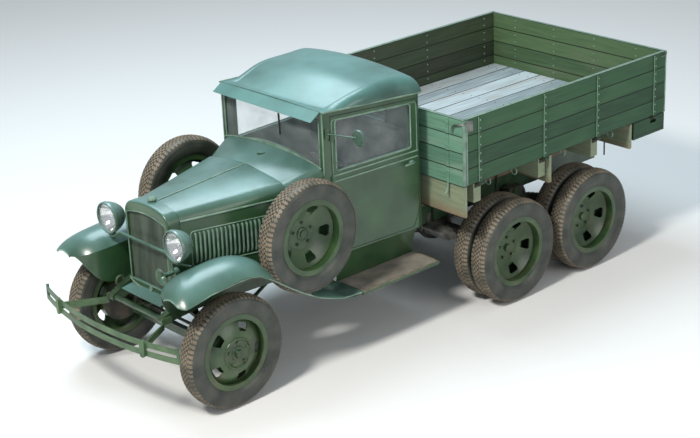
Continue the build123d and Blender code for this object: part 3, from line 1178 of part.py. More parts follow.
# Roof: a crowned shell over the eaves, with the sun visor along its front edge
# Each roof section: distance behind the axle, crown rise over the eaves, shoulder inset, shoulder rise
ROOF_SECTIONS = (
    (CAB_FRONT - 6.0, 14.0, 60.0, 6.0),
    (1320.0, 98.0, 84.0, 60.0),
    (1640.0, 168.0, 90.0, 126.0),
    (1860.0, 178.0, 90.0, 140.0),
    (1985.0, 146.0, 100.0, 112.0),
    (CAB_REAR + 4.0, 52.0, 120.0, 38.0),
)
ROOF_LIP = 8.0
ROOF_REAR_TUCK = 20.0
ROOF_WALL = 22.0
VISOR_FRONT = 956.0
VISOR_Z = 1890.0
with BuildPart() as roof:
    for wall, mode in ((0.0, Mode.ADD), (ROOF_WALL, Mode.SUBTRACT)):
        for number, (behind, rise, inset, shoulder) in enumerate(ROOF_SECTIONS):
            at_rear = number == len(ROOF_SECTIONS) - 1
            if wall and (number == 0 or at_rear):
                continue
            half = cab_half(behind) + ROOF_LIP - wall - (ROOF_REAR_TUCK if at_rear else 0)
            base_z = eave_z(behind) + 0.3
            low_z = base_z - (2 if wall else 0)
            turn_x = half - inset + wall * 0.5
            turn_z = base_z + shoulder - wall * 0.7
            bulge_x = half - inset * 0.22
            bulge_z = base_z + shoulder * 0.66 - wall * 0.5
            with BuildSketch(Plane.XZ.offset(-station(behind))):
                with BuildLine():
                    Line((-half, low_z), (half, low_z))
                    ThreePointArc((half, low_z), (bulge_x, bulge_z), (turn_x, turn_z))
                    ThreePointArc((turn_x, turn_z), (0, base_z + rise - wall), (-turn_x, turn_z))
                    ThreePointArc((-turn_x, turn_z), (-bulge_x, bulge_z), (-half, low_z))
                make_face()
        loft(mode=mode)
    with BuildSketch(Plane.YZ):
        Polygon(
            (station(CAB_FRONT) - 2, EAVE_FRONT_Z + 7),
            (station(VISOR_FRONT), VISOR_Z),
            (station(VISOR_FRONT) + 6, VISOR_Z - 4),
            (station(CAB_FRONT) - 2, EAVE_FRONT_Z - 4),
        )
    extrude(amount=CAB_FRONT_HALF - 14, both=True)
roof.part.label = "roof"
export_step(roof.part, "parts/roof.step")

# Glass of the windshield and of the rear window, each in its opening
with BuildPart() as cab_glass:
    with BuildSketch(Plane.XZ.offset(-station(CAB_FRONT + 12))):
        with BuildLine():
            inset = SEAT_CLEARANCE
            ThreePointArc(
                (inset - GLASS_HALF, GLASS_BOTTOM_EDGE_Z + 2 * inset),
                (0, GLASS_BOTTOM_CENTRE_Z + 2 * inset),
                (GLASS_HALF - inset, GLASS_BOTTOM_EDGE_Z + 2 * inset),
            )
            Line((GLASS_HALF - inset, GLASS_BOTTOM_EDGE_Z + 2 * inset), (GLASS_HALF - inset, GLASS_TOP_Z - inset))
            Line((GLASS_HALF - inset, GLASS_TOP_Z - inset), (inset - GLASS_HALF, GLASS_TOP_Z - inset))
            Line((inset - GLASS_HALF, GLASS_TOP_Z - inset), (inset - GLASS_HALF, GLASS_BOTTOM_EDGE_Z + 2 * inset))
        make_face()
    extrude(amount=-GLASS_WALL)
    with BuildSketch(Plane.XZ.offset(-station(CAB_REAR - 12))):
        with Locations((0, (REAR_WINDOW_BOTTOM_Z + REAR_WINDOW_TOP_Z) / 2)):
            RectangleRounded(
                2 * REAR_WINDOW_HALF - 2 * inset, REAR_WINDOW_TOP_Z - REAR_WINDOW_BOTTOM_Z - 2 * inset, 40 - inset
            )
    extrude(amount=GLASS_WALL)
cab_glass.part.label = "cab_glass"
export_step(cab_glass.part, "parts/cab_glass.step")

# Doors, hinged at the front edge, and their windows
door_slope = math.atan((CAB_REAR_HALF - CAB_FRONT_HALF) / (CAB_REAR - CAB_FRONT))
door_front = DOOR_FRONT + DOOR_GAP
door_rear = DOOR_REAR - DOOR_GAP
door_bottom = DOOR_BOTTOM_Z + DOOR_GAP
door_head = DOOR_HEADROOM + DOOR_GAP
HANDLE_Z = 1345.0
DOOR_AXIS_X = 602.0
DOOR_AXIS_BEHIND = 1125.0
DOOR_HINGES_Z = (980.0, 1395.0, 1740.0)
DOOR_HINGE_HEIGHT = 64.0
for side_name, side in (("left", 1), ("right", -1)):
    for piece_name in ("door", "door_glass"):
        outer_plane = Plane(
            origin=(cab_half(door_front), station(door_front), 0),
            x_dir=(math.sin(door_slope), math.cos(door_slope), 0),
            z_dir=(math.cos(door_slope), -math.sin(door_slope), 0),
        )
        run = (door_rear - door_front) / math.cos(door_slope)
        glass_start = DOOR_WINDOW_FRONT - door_front
        glass_end = DOOR_WINDOW_REAR - door_front
        glass_top_front = eave_z(DOOR_WINDOW_FRONT) - DOOR_HEADROOM - 34
        glass_top_rear = eave_z(DOOR_WINDOW_REAR) - DOOR_HEADROOM - 34
        with BuildPart() as door:
            if piece_name == "door":
                with BuildSketch(outer_plane):
                    with BuildLine():
                        Line((0, door_bottom), (run - 60, door_bottom))
                        ThreePointArc((run - 60, door_bottom), (run - 14, door_bottom + 108), (run, door_bottom + 235))
                        Line((run, door_bottom + 235), (run, eave_z(door_rear) - door_head))
                        Line((run, eave_z(door_rear) - door_head), (0, eave_z(door_front) - door_head))
                        Line((0, eave_z(door_front) - door_head), (0, door_bottom))
                    make_face()
                extrude(amount=-CAB_WALL)
                with BuildSketch(outer_plane):
                    window = Polygon(
                        (glass_start, BELT_Z), (glass_end, BELT_Z), (glass_end, glass_top_rear), (glass_start, glass_top_front)
                    )
                    fillet(window.vertices(), 18)
                extrude(amount=-CAB_WALL, mode=Mode.SUBTRACT)
                with BuildSketch(outer_plane):
                    with Locations(((run) / 2, BELT_Z - 92)):
                        Rectangle(run - 8, 22)
                extrude(amount=7)
                with BuildSketch(outer_plane):
                    with Locations((run - 70, HANDLE_Z)):
                        Circle(13)
                extrude(amount=30)
                with BuildSketch(outer_plane.offset(24)):
                    with Locations((run - 100, HANDLE_Z)):
                        SlotOverall(104, 16)
                extrude(amount=14)
                for hinge_z in DOOR_HINGES_Z:
                    with BuildSketch(Plane.XY.offset(hinge_z - DOOR_HINGE_HEIGHT / 2)):
                        with Locations((DOOR_AXIS_X, station(DOOR_AXIS_BEHIND))):
                            Circle(HINGE_RADIUS)
                    extrude(amount=DOOR_HINGE_HEIGHT)
                    with BuildSketch(Plane.XY.offset(hinge_z - DOOR_HINGE_HEIGHT / 2)):
                        with Locations((DOOR_AXIS_X - 2, station(DOOR_AXIS_BEHIND) + 18)):
                            Rectangle(8, 36)
                        with Locations((DOOR_AXIS_X - 7, station(DOOR_AXIS_BEHIND) + 24)):
                            Rectangle(18, 24)
                    extrude(amount=DOOR_HINGE_HEIGHT)
            else:
                with BuildSketch(outer_plane.offset(-12)):
                    pane = Polygon(
                        (glass_start + inset, BELT_Z + inset),
                        (glass_end - inset, BELT_Z + inset),
                        (glass_end - inset, glass_top_rear - inset),
                        (glass_start + inset, glass_top_front - inset),
                    )
                    fillet(pane.vertices(), 18)
                extrude(amount=-GLASS_WALL)
            if side < 0:
                mirror(about=Plane.YZ, mode=Mode.REPLACE)
        door.part.label = f"{piece_name}_{side_name}"
        export_step(door.part, f"parts/{piece_name}_{side_name}.step")

# Bench seat: cushion on the seat box and a backrest against the rear wall
with BuildPart() as seat:
    with BuildSketch(Plane.XY.offset(SEAT_BOX_Z + 0.3)):
        with Locations((0, station((SEAT_FRONT + 1890) / 2))):
            RectangleRounded(2 * SEAT_HALF, 1890 - SEAT_FRONT, 40)
    extrude(amount=130)
    fillet(seat.faces().sort_by(Axis.Z)[-1].edges(), 30)
    with BuildSketch(Plane.XY.offset(SEAT_BOX_Z + 130.6)):
        with Locations((0, station(1940))):
            RectangleRounded(2 * SEAT_HALF, 108, 20)
    extrude(amount=400)
seat.part.label = "seat"
export_step(seat.part, "parts/seat.step")

# Steering column and wheel at the driver's place on the left
COLUMN_X = 300.0
COLUMN_LOW = Vector(COLUMN_X, station(1000), 900)
WHEEL_CENTRE = Vector(COLUMN_X, station(1395), 1372)
WHEEL_RIM_RADIUS = 205.0
column_line = WHEEL_CENTRE - COLUMN_LOW
wheel_tilt = Plane(origin=WHEEL_CENTRE, x_dir=(1, 0, 0), z_dir=column_line)
with BuildPart() as steering_column:
    with BuildSketch(Plane(origin=COLUMN_LOW, z_dir=column_line)):
        Circle(19)
    extrude(amount=column_line.length - 30)
    with BuildSketch(Plane.XZ.offset(-station(CAB_FRONT + CAB_WALL) - 0.3)):
        with Locations((COLUMN_X, 975)):
            Rectangle(80, 60)
    extrude(amount=-6)
    with BuildSketch(Plane.XZ.offset(-station(CAB_FRONT + CAB_WALL) - 0.3)):
        with Locations((COLUMN_X, 975)):
            Rectangle(300, 600)
    extrude(amount=200, mode=Mode.SUBTRACT)
steering_column.part.label = "steering_column"
export_step(steering_column.part, "parts/steering_column.step")

with BuildPart() as steering_wheel:
    with BuildSketch(Plane(origin=WHEEL_CENTRE, x_dir=(1, 0, 0), z_dir=wheel_tilt.y_dir)):
        with Locations((WHEEL_RIM_RADIUS - 12, 0)):
            Circle(12)
    revolve(axis=Axis(WHEEL_CENTRE, column_line))
    with BuildSketch(wheel_tilt.offset(-29.5)):
        Circle(30)
    extrude(amount=42)
    with BuildSketch(wheel_tilt.offset(-6)):
        with PolarLocations((WHEEL_RIM_RADIUS - 16) / 2, 4, start_angle=45):
            Rectangle(WHEEL_RIM_RADIUS - 16, 18)
    extrude(amount=12)
steering_wheel.part.label = "steering_wheel"
export_step(steering_wheel.part, "parts/steering_wheel.step")

# Round mirror on an arm from the left front pillar
with BuildPart() as mirror_arm:
    arm_start = Vector(cab_half(1110) + 5, station(1092), 1772)
    arm_end = Vector(835, station(1190), 1768)
    with BuildSketch(Plane(origin=arm_start, z_dir=arm_end - arm_start)):
        Circle(6)
    extrude(amount=(arm_end - arm_start).length)
    with BuildSketch(Plane.YZ.offset(cab_half(1110) + 0.3)):
        with Locations((station(1092), 1772)):
            Rectangle(36, 70)
    extrude(amount=8)
    with BuildSketch(Plane(origin=arm_end, z_dir=(0, 1, 0))):
        Circle(62)
    extrude(amount=12)
mirror_arm.part.label = "mirror"
export_step(mirror_arm.part, "parts/mirror.step")

# Bed floor: lengthwise planks as one slab with grooves
floor_half = BED_HALF - BOARD_WALL - RUNNING_GAP
floor_front = BED_FRONT + BOARD_WALL
floor_rear = BED_REAR - BOARD_WALL - RUNNING_GAP
plank_pitch = 2 * floor_half / PLANK_COUNT
with BuildPart() as bed_floor:
    with BuildSketch(Plane.XY.offset(FLOOR_TOP_Z - FLOOR_WALL)):
        with Locations((0, station((floor_front + floor_rear) / 2))):
            Rectangle(2 * floor_half, floor_rear - floor_front)
    extrude(amount=FLOOR_WALL)
    with BuildSketch(Plane.XY.offset(FLOOR_TOP_Z)):
        with Locations((0, station((floor_front + floor_rear) / 2))):
            with GridLocations(plank_pitch, 1, PLANK_COUNT - 1, 1):
                Rectangle(GROOVE, floor_rear - floor_front)
    extrude(amount=-8, mode=Mode.SUBTRACT)
bed_floor.part.label = "bed_floor"
export_step(bed_floor.part, "parts/bed_floor.step")

# Beams under the floor: two long sills on the rails, cross bearers and the three mud boards
bearer_z = FRAME_TOP_Z + SILL_HEIGHT
bearer_height = FLOOR_TOP_Z - FLOOR_WALL - bearer_z
HINGE_STATIONS = (2288.0, 3037.0, 3686.0, 4426.0)
LOCKER_FRONT = 4166.0
LOCKER_REAR = 4574.0
LOCKER_INNER_X = 640.0
LOCKER_BOTTOM_Z = 1007.0
LOCKER_TOP_Z = 1142.0
mud_boards = ((BED_FRONT + 14, 900.0), (3096.0, 926.0), (4112.0, 944.0))
with BuildPart() as bed_beams:
    with BuildSketch(Plane.XY.offset(FRAME_TOP_Z)):
        for side in (1, -1):
            with Locations((side * (RAIL_X - SILL_WIDTH / 2), station((floor_front + floor_rear) / 2))):
                Rectangle(SILL_WIDTH, floor_rear - floor_front)
    extrude(amount=SILL_HEIGHT)
    with BuildSketch(Plane.XY.offset(bearer_z)):
        for bearer in HINGE_STATIONS:
            with Locations((0, station(bearer))):
                Rectangle(2 * floor_half, 80)
    extrude(amount=bearer_height)
    with BuildSketch(Plane.XZ.offset(-station(LOCKER_FRONT))):
        with Locations(((LOCKER_INNER_X + BED_HALF) / 2, (bearer_z + LOCKER_TOP_Z) / 2)):
            Rectangle(BED_HALF - LOCKER_INNER_X, LOCKER_TOP_Z - bearer_z + 0.6)
    extrude(amount=-(LOCKER_REAR - LOCKER_FRONT), mode=Mode.SUBTRACT)
    for board, bottom in mud_boards:
        for side in (1, -1):
            with BuildSketch(Plane.XZ.offset(-station(board))):
                Polygon(
                    (side * (RAIL_X + 4), bottom),
                    (side * (BED_HALF - 4), bottom),
                    (side * (BED_HALF - 4), BOARD_BOTTOM_Z - 8),
                    (side * (floor_half - 10), BOARD_BOTTOM_Z - 8),
                    (side * (floor_half - 10), BOARD_BOTTOM_Z - SEAT_CLEARANCE),
                    (side * (RAIL_X - 20), BOARD_BOTTOM_Z - SEAT_CLEARANCE),
                    (side * (RAIL_X - 20), FRAME_TOP_Z + 60),
                    (side * (RAIL_X + 4), FRAME_TOP_Z + 60),
                )
            extrude(amount=-26)
bed_beams.part.label = "bed_beams"
export_step(bed_beams.part, "parts/bed_beams.step")

# Headboard, fixed at the bed's front
with BuildPart() as headboard:
    with BuildSketch(Plane.XZ.offset(-station(BED_FRONT))):
        with Locations((0, (BOARD_BOTTOM_Z + BOARD_TOP_Z) / 2)):
            Rectangle(2 * BED_HALF, BOARD_TOP_Z - BOARD_BOTTOM_Z)
    extrude(amount=-BOARD_WALL)
    for face_y in (BED_FRONT, BED_FRONT + BOARD_WALL):
        with BuildSketch(Plane.XZ.offset(-station(face_y) - 4)):
            with Locations((0, (BOARD_BOTTOM_Z + BOARD_TOP_Z) / 2)):
                with GridLocations(1, (BOARD_TOP_Z - BOARD_BOTTOM_Z) / BOARD_COUNT, 1, BOARD_COUNT - 1):
                    Rectangle(2 * BED_HALF, GROOVE)
        extrude(amount=-8, mode=Mode.SUBTRACT)
    for strap_x in (-840.0, -300.0, 300.0, 840.0):
        with BuildSketch(Plane.XZ.offset(-station(BED_FRONT))):
            with Locations((strap_x, (BOARD_BOTTOM_Z + BOARD_TOP_Z) / 2)):
                Rectangle(STRAP_WIDTH, BOARD_TOP_Z - BOARD_BOTTOM_Z - 16)
        extrude(amount=STRAP_WALL)
headboard.part.label = "headboard"
export_step(headboard.part, "parts/headboard.step")

# Drop sides: boards, straps that end in hinge eyes, and a latch arm at each end
side_front = BED_FRONT + BOARD_WALL + RUNNING_GAP
side_length = BED_REAR - side_front
EYE_RADIUS = 11.0
for side_name, side in (("left", 1), ("right", -1)):
    with BuildPart() as drop_side:
        with BuildSketch(Plane.YZ.offset(side * (BED_HALF - BOARD_WALL))):
            with Locations((station(side_front + side_length / 2), (BOARD_BOTTOM_Z + BOARD_TOP_Z) / 2)):
                Rectangle(side_length, BOARD_TOP_Z - BOARD_BOTTOM_Z)
        extrude(amount=side * BOARD_WALL)
        for face_x in (BED_HALF, BED_HALF - BOARD_WALL):
            with BuildSketch(Plane.YZ.offset(side * (face_x + 4))):
                with Locations((station(side_front + side_length / 2), (BOARD_BOTTOM_Z + BOARD_TOP_Z) / 2)):
                    with GridLocations(1, (BOARD_TOP_Z - BOARD_BOTTOM_Z) / BOARD_COUNT, 1, BOARD_COUNT - 1):
                        Rectangle(side_length, GROOVE)
            extrude(amount=-side * 8, mode=Mode.SUBTRACT)
        for hinge in HINGE_STATIONS:
            with BuildSketch(Plane.YZ.offset(side * BED_HALF)):
                with Locations((station(hinge), (BED_HINGE_Z + BOARD_TOP_Z - 10) / 2)):
                    Rectangle(STRAP_WIDTH, BOARD_TOP_Z - 10 - BED_HINGE_Z)
            extrude(amount=side * STRAP_WALL)
            with BuildSketch(Plane.XZ.offset(-station(hinge) + STRAP_WIDTH / 2)):
                with Locations((side * SIDE_HINGE_X, BED_HINGE_Z)):
                    Circle(EYE_RADIUS)
                Polygon(
                    (side * BED_HALF, BED_HINGE_Z + 30),
                    (side * (BED_HALF + STRAP_WALL), BED_HINGE_Z + 30),
                    (side * (SIDE_HINGE_X + EYE_RADIUS), BED_HINGE_Z),
                    (side * SIDE_HINGE_X, BED_HINGE_Z - 4),
                    (side * BED_HALF, BED_HINGE_Z + 8),
                )
            extrude(amount=-STRAP_WIDTH)
            with BuildSketch(Plane.XZ.offset(-station(hinge) + STRAP_WIDTH / 2)):
                with Locations((side * SIDE_HINGE_X, BED_HINGE_Z)):
                    Circle(HINGE_PIN_RADIUS + SPINDLE_CLEARANCE)
            extrude(amount=-STRAP_WIDTH, mode=Mode.SUBTRACT)
    drop_side.part.label = f"side_{side_name}"
    export_step(drop_side.part, f"parts/side_{side_name}.step")

# Tailgate between the drop sides, hinged at its foot
gate_half = BED_HALF - BOARD_WALL - RUNNING_GAP
gate_hinge_y = station(BED_REAR) + GATE_HINGE_OUT
GATE_HINGES = (-700.0, -233.0, 233.0, 700.0)
with BuildPart() as tailgate:
    with BuildSketch(Plane.XZ.offset(-station(BED_REAR))):
        with Locations((0, (BOARD_BOTTOM_Z + BOARD_TOP_Z) / 2)):
            Rectangle(2 * gate_half, BOARD_TOP_Z - BOARD_BOTTOM_Z)
    extrude(amount=BOARD_WALL)
    for face_y in (BED_REAR, BED_REAR - BOARD_WALL):
        with BuildSketch(Plane.XZ.offset(-station(face_y) - 4)):
            with Locations((0, (BOARD_BOTTOM_Z + BOARD_TOP_Z) / 2)):
                with GridLocations(1, (BOARD_TOP_Z - BOARD_BOTTOM_Z) / BOARD_COUNT, 1, BOARD_COUNT - 1):
                    Rectangle(2 * gate_half, GROOVE)
        extrude(amount=8, mode=Mode.SUBTRACT)
    for hinge_x in GATE_HINGES:
        with BuildSketch(Plane.XZ.offset(-station(BED_REAR))):
            with Locations((hinge_x, (BED_HINGE_Z + BOARD_TOP_Z - 10) / 2)):
                Rectangle(STRAP_WIDTH, BOARD_TOP_Z - 10 - BED_HINGE_Z)
        extrude(amount=-STRAP_WALL)
        with BuildSketch(Plane.YZ.offset(hinge_x - STRAP_WIDTH / 2)):
            with Locations((gate_hinge_y, BED_HINGE_Z)):
                Circle(EYE_RADIUS)
            Polygon(
                (station(BED_REAR), BED_HINGE_Z + 30),
                (station(BED_REAR) + STRAP_WALL, BED_HINGE_Z + 30),
                (gate_hinge_y + EYE_RADIUS, BED_HINGE_Z),
                (gate_hinge_y, BED_HINGE_Z - 4),
                (station(BED_REAR), BED_HINGE_Z + 8),
            )
        extrude(amount=STRAP_WIDTH)
        with BuildSketch(Plane.YZ.offset(hinge_x - STRAP_WIDTH / 2)):
            with Locations((gate_hinge_y, BED_HINGE_Z)):
                Circle(HINGE_PIN_RADIUS + SPINDLE_CLEARANCE)
        extrude(amount=STRAP_WIDTH, mode=Mode.SUBTRACT)
tailgate.part.label = "tailgate"
export_step(tailgate.part, "parts/tailgate.step")

# Hinge brackets: a pin between two ears at each hinge, on a foot under the floor
bracket_gap = 1.0
with BuildPart() as hinge_brackets:
    for side in (1, -1):
        for hinge in HINGE_STATIONS:
            for ear in (-1, 1):
                ear_y = station(hinge) + ear * (STRAP_WIDTH / 2 + bracket_gap)
                with BuildSketch(Plane.XZ.offset(-ear_y)):
                    with Locations((side * SIDE_HINGE_X, BED_HINGE_Z)):
                        Circle(EYE_RADIUS)
                    Polygon(
                        (side * SIDE_HINGE_X, BED_HINGE_Z + 8),
                        (side * SIDE_HINGE_X, BED_HINGE_Z - EYE_RADIUS),
                        (side * (floor_half + 0.3), BED_HINGE_Z - EYE_RADIUS),
                        (side * (floor_half + 0.3), BED_HINGE_Z + 4),
                    )
                extrude(amount=-ear * 9)
            with BuildSketch(Plane.XZ.offset(-station(hinge) + STRAP_WIDTH / 2 + 8)):
                with Locations((side * SIDE_HINGE_X, BED_HINGE_Z)):
                    Circle(HINGE_PIN_RADIUS)
            extrude(amount=-STRAP_WIDTH - 16)
            with BuildSketch(Plane.YZ.offset(side * (floor_half + 0.3))):
                with Locations((station(hinge), BED_HINGE_Z - 17)):
                    Rectangle(STRAP_WIDTH + 2 * bracket_gap + 18, 46)
            extrude(amount=side * 8)
    for hinge_x in GATE_HINGES:
        for ear in (-1, 1):
            ear_x = hinge_x + ear * (STRAP_WIDTH / 2 + bracket_gap)
            with BuildSketch(Plane.YZ.offset(ear_x)):
                with Locations((gate_hinge_y, BED_HINGE_Z)):
                    Circle(EYE_RADIUS)
                Polygon(
                    (gate_hinge_y, BED_HINGE_Z + 8),
                    (gate_hinge_y, BED_HINGE_Z - EYE_RADIUS),
                    (station(floor_rear) - 40, BED_HINGE_Z - EYE_RADIUS),
                    (station(floor_rear) - 40, BED_HINGE_Z + 4),
                )
            extrude(amount=ear * 9)
        with BuildSketch(Plane.YZ.offset(hinge_x - STRAP_WIDTH / 2 - 8)):
            with Locations((gate_hinge_y, BED_HINGE_Z)):
                Circle(HINGE_PIN_RADIUS)
        extrude(amount=STRAP_WIDTH + 16)
        with BuildSketch(Plane.XY.offset(FLOOR_TOP_Z - FLOOR_WALL - 0.3)):
            with Locations((hinge_x, station(floor_rear) - 34)):
                Rectangle(STRAP_WIDTH + 2 * bracket_gap + 18, 66)
        extrude(amount=-40)
hinge_brackets.part.label = "hinge_brackets"
export_step(hinge_brackets.part, "parts/hinge_brackets.step")

# Locker under the left rear of the bed, notched round the hinge bracket there
with BuildPart() as locker:
    with BuildSketch(Plane.XZ.offset(-station(LOCKER_REAR))):
        Polygon(
            (LOCKER_INNER_X, LOCKER_BOTTOM_Z),
            (BED_HALF - 6, LOCKER_BOTTOM_Z),
            (BED_HALF - 6, BOARD_BOTTOM_Z - 9),
            (floor_half + 6, BOARD_BOTTOM_Z - 9),
            (floor_half + 6, LOCKER_TOP_Z),
            (LOCKER_INNER_X, LOCKER_TOP_Z),
        )
    extrude(amount=LOCKER_REAR - LOCKER_FRONT)
    with BuildSketch(Plane.XY.offset(LOCKER_TOP_Z - 40)):
        with Locations((BED_HALF, station(HINGE_STATIONS[-1]))):
            Rectangle(90, STRAP_WIDTH + 40)
    extrude(amount=80, mode=Mode.SUBTRACT)
locker.part.label = "locker"
export_step(locker.part, "parts/locker.step")
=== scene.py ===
"""Looks of a six-wheeled military cargo truck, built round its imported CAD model.

Places are in metres in the row frame. A distance b is measured rearwards from the front axle.
"""
import math

import bmesh
import bpy
from mathutils import Matrix, Vector


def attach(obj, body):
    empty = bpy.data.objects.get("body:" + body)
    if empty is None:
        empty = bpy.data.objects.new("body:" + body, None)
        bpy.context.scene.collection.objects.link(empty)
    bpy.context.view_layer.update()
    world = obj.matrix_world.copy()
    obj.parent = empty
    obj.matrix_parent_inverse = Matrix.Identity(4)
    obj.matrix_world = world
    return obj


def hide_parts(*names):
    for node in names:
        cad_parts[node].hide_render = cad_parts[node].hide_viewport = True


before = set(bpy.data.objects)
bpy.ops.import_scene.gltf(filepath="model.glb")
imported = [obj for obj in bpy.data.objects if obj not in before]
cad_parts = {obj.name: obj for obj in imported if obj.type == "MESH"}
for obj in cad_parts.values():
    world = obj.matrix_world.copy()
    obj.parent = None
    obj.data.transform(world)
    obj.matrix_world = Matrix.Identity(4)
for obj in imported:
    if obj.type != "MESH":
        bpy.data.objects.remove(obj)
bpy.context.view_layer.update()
FRONT_AXLE_Y = -1.956
AXLE_Z = 0.433


def st(b):
    """Y of a place b metres behind the front axle."""
    return FRONT_AXLE_Y + b


# Camera, solved from the photograph
AZIMUTH, ELEVATION, ROLL = (math.radians(v) for v in (48.519, 21.767, -2.389))
CAMERA_PLACE = (9.6706, FRONT_AXLE_Y - 6.7364, 5.8779)
FOCAL_PIXELS, PHOTO_WIDTH = 1718.54, 700
SENSOR = 36.0
cam_data = bpy.data.cameras.new("camera")
camera = bpy.data.objects.new("camera", cam_data)
bpy.context.scene.collection.objects.link(camera)
bpy.context.scene.camera = camera
back = Vector((
    math.sin(AZIMUTH) * math.cos(ELEVATION),
    -math.cos(AZIMUTH) * math.cos(ELEVATION),
    math.sin(ELEVATION),
))
right = (-back).cross(Vector((0, 0, 1))).normalized()
up = right.cross(-back)
cr, sr = math.cos(ROLL), math.sin(ROLL)
cam_x = cr * right + sr * up
cam_y = -sr * right + cr * up
camera.matrix_world = Matrix((
    (cam_x.x, cam_y.x, back.x, CAMERA_PLACE[0]),
    (cam_x.y, cam_y.y, back.y, CAMERA_PLACE[1]),
    (cam_x.z, cam_y.z, back.z, CAMERA_PLACE[2]),
    (0, 0, 0, 1),
))
cam_data.sensor_width = SENSOR
cam_data.lens = FOCAL_PIXELS / PHOTO_WIDTH * SENSOR
cam_data.clip_end = 200.0
bpy.context.scene.view_settings.view_transform = "Standard"


# Materials
def new_material(name):
    material = bpy.data.materials.new(name)
    material.use_nodes = True
    nodes = material.node_tree.nodes
    return material, nodes, material.node_tree.links, nodes["Principled BSDF"]


def ramp(nodes, stops):
    node = nodes.new("ShaderNodeValToRGB")
    node.color_ramp.elements[0].position = stops[0][0]
    node.color_ramp.elements[0].color = (*stops[0][1], 1)
    node.color_ramp.elements[1].position = stops[-1][0]
    node.color_ramp.elements[1].color = (*stops[-1][1], 1)
    for position, color in stops[1:-1]:
        element = node.color_ramp.elements.new(position)
        element.color = (*color, 1)
    return node


def noise(nodes, links, coord, scale, detail=6.0, stretch=None):
    node = nodes.new("ShaderNodeTexNoise")
    node.inputs["Scale"].default_value = scale
    node.inputs["Detail"].default_value = detail
    if stretch:
        mapping = nodes.new("ShaderNodeMapping")
        mapping.inputs["Scale"].default_value = stretch
        links.new(coord, mapping.inputs["Vector"])
        coord = mapping.outputs["Vector"]
    links.new(coord, node.inputs["Vector"])
    return node


def mix(nodes, links, factor, a, b):
    node = nodes.new("ShaderNodeMix")
    node.data_type = "RGBA"
    links.new(factor, node.inputs["Factor"])
    for value, socket in ((a, node.inputs["A"]), (b, node.inputs["B"])):
        if isinstance(value, tuple):
            socket.default_value = (*value, 1)
        else:
            links.new(value, socket)
    return node.outputs["Result"]


def maths(nodes, links, operation, a, b, clamp=True):
    node = nodes.new("ShaderNodeMath")
    node.operation = operation
    node.use_clamp = clamp
    for value, socket in ((a, node.inputs[0]), (b, node.inputs[1])):
        if isinstance(value, (int, float)):
            socket.default_value = value
        else:
            links.new(value, socket)
    return node.outputs[0]


def worn(name, dark, light, dust, rough=(0.35, 0.6), metallic=0.0, scale=3.0, dust_amount=0.35,
         dust_top=0.9, sky=None, bump=0.12, coat=0.0, stretch=None, grain=60.0):
    """Painted or bare surface: broad colour drift, fine mottle, dust low down, and, where sky is given, a
    painted sky highlight on upward-facing surfaces.
    """
    material, nodes, links, shader = new_material(name)
    coord = nodes.new("ShaderNodeTexCoord").outputs["Object"]
    geometry = nodes.new("ShaderNodeNewGeometry")
    broad = noise(nodes, links, coord, scale, 7.0, stretch)
    tones = ramp(nodes, ((0.32, dark), (0.68, light)))
    links.new(broad.outputs["Fac"], tones.inputs["Fac"])
    color = tones.outputs["Color"]
    # Painted highlight: the sky colour is mixed into upward-facing surfaces, in broad noise patches
    if sky:
        normal = nodes.new("ShaderNodeSeparateXYZ")
        links.new(geometry.outputs["Normal"], normal.inputs["Vector"])
        sky_highlight_mask = maths(nodes, links, "MULTIPLY", normal.outputs["Z"], 0.85)
        sky_highlight_mask = maths(nodes, links, "POWER", sky_highlight_mask, 1.6)
        drift = maths(nodes, links, "MULTIPLY", broad.outputs["Fac"], 1.5)
        color = mix(nodes, links, maths(nodes, links, "MULTIPLY", sky_highlight_mask, drift), color, sky)
    place = nodes.new("ShaderNodeSeparateXYZ")
    links.new(coord, place.inputs["Vector"])
    low = nodes.new("ShaderNodeMapRange")
    low.inputs["From Min"].default_value = dust_top
    low.inputs["From Max"].default_value = 0.0
    links.new(place.outputs["Z"], low.inputs["Value"])
    patches = noise(nodes, links, coord, 9.0, 8.0)
    dirt = ramp(nodes, ((0.42, (0, 0, 0)), (0.72, (1, 1, 1))))
    links.new(patches.outputs["Fac"], dirt.inputs["Fac"])
    cover = maths(nodes, links, "MULTIPLY", dirt.outputs["Color"], low.outputs["Result"])
    cover = maths(nodes, links, "MULTIPLY", cover, dust_amount)
    links.new(mix(nodes, links, cover, color, dust), shader.inputs["Base Color"])
    fine = noise(nodes, links, coord, grain, 5.0, stretch)
    gloss = nodes.new("ShaderNodeMapRange")
    gloss.inputs["To Min"].default_value = rough[0]
    gloss.inputs["To Max"].default_value = rough[1]
    links.new(fine.outputs["Fac"], gloss.inputs["Value"])
    links.new(gloss.outputs["Result"], shader.inputs["Roughness"])
    relief = nodes.new("ShaderNodeBump")
    relief.inputs["Strength"].default_value = bump
    relief.inputs["Distance"].default_value = 0.004
    links.new(fine.outputs["Fac"], relief.inputs["Height"])
    links.new(relief.outputs["Normal"], shader.inputs["Normal"])
    shader.inputs["Metallic"].default_value = metallic
    shader.inputs["Coat Weight"].default_value = coat
    shader.inputs["Coat Roughness"].default_value = 0.25
    return material


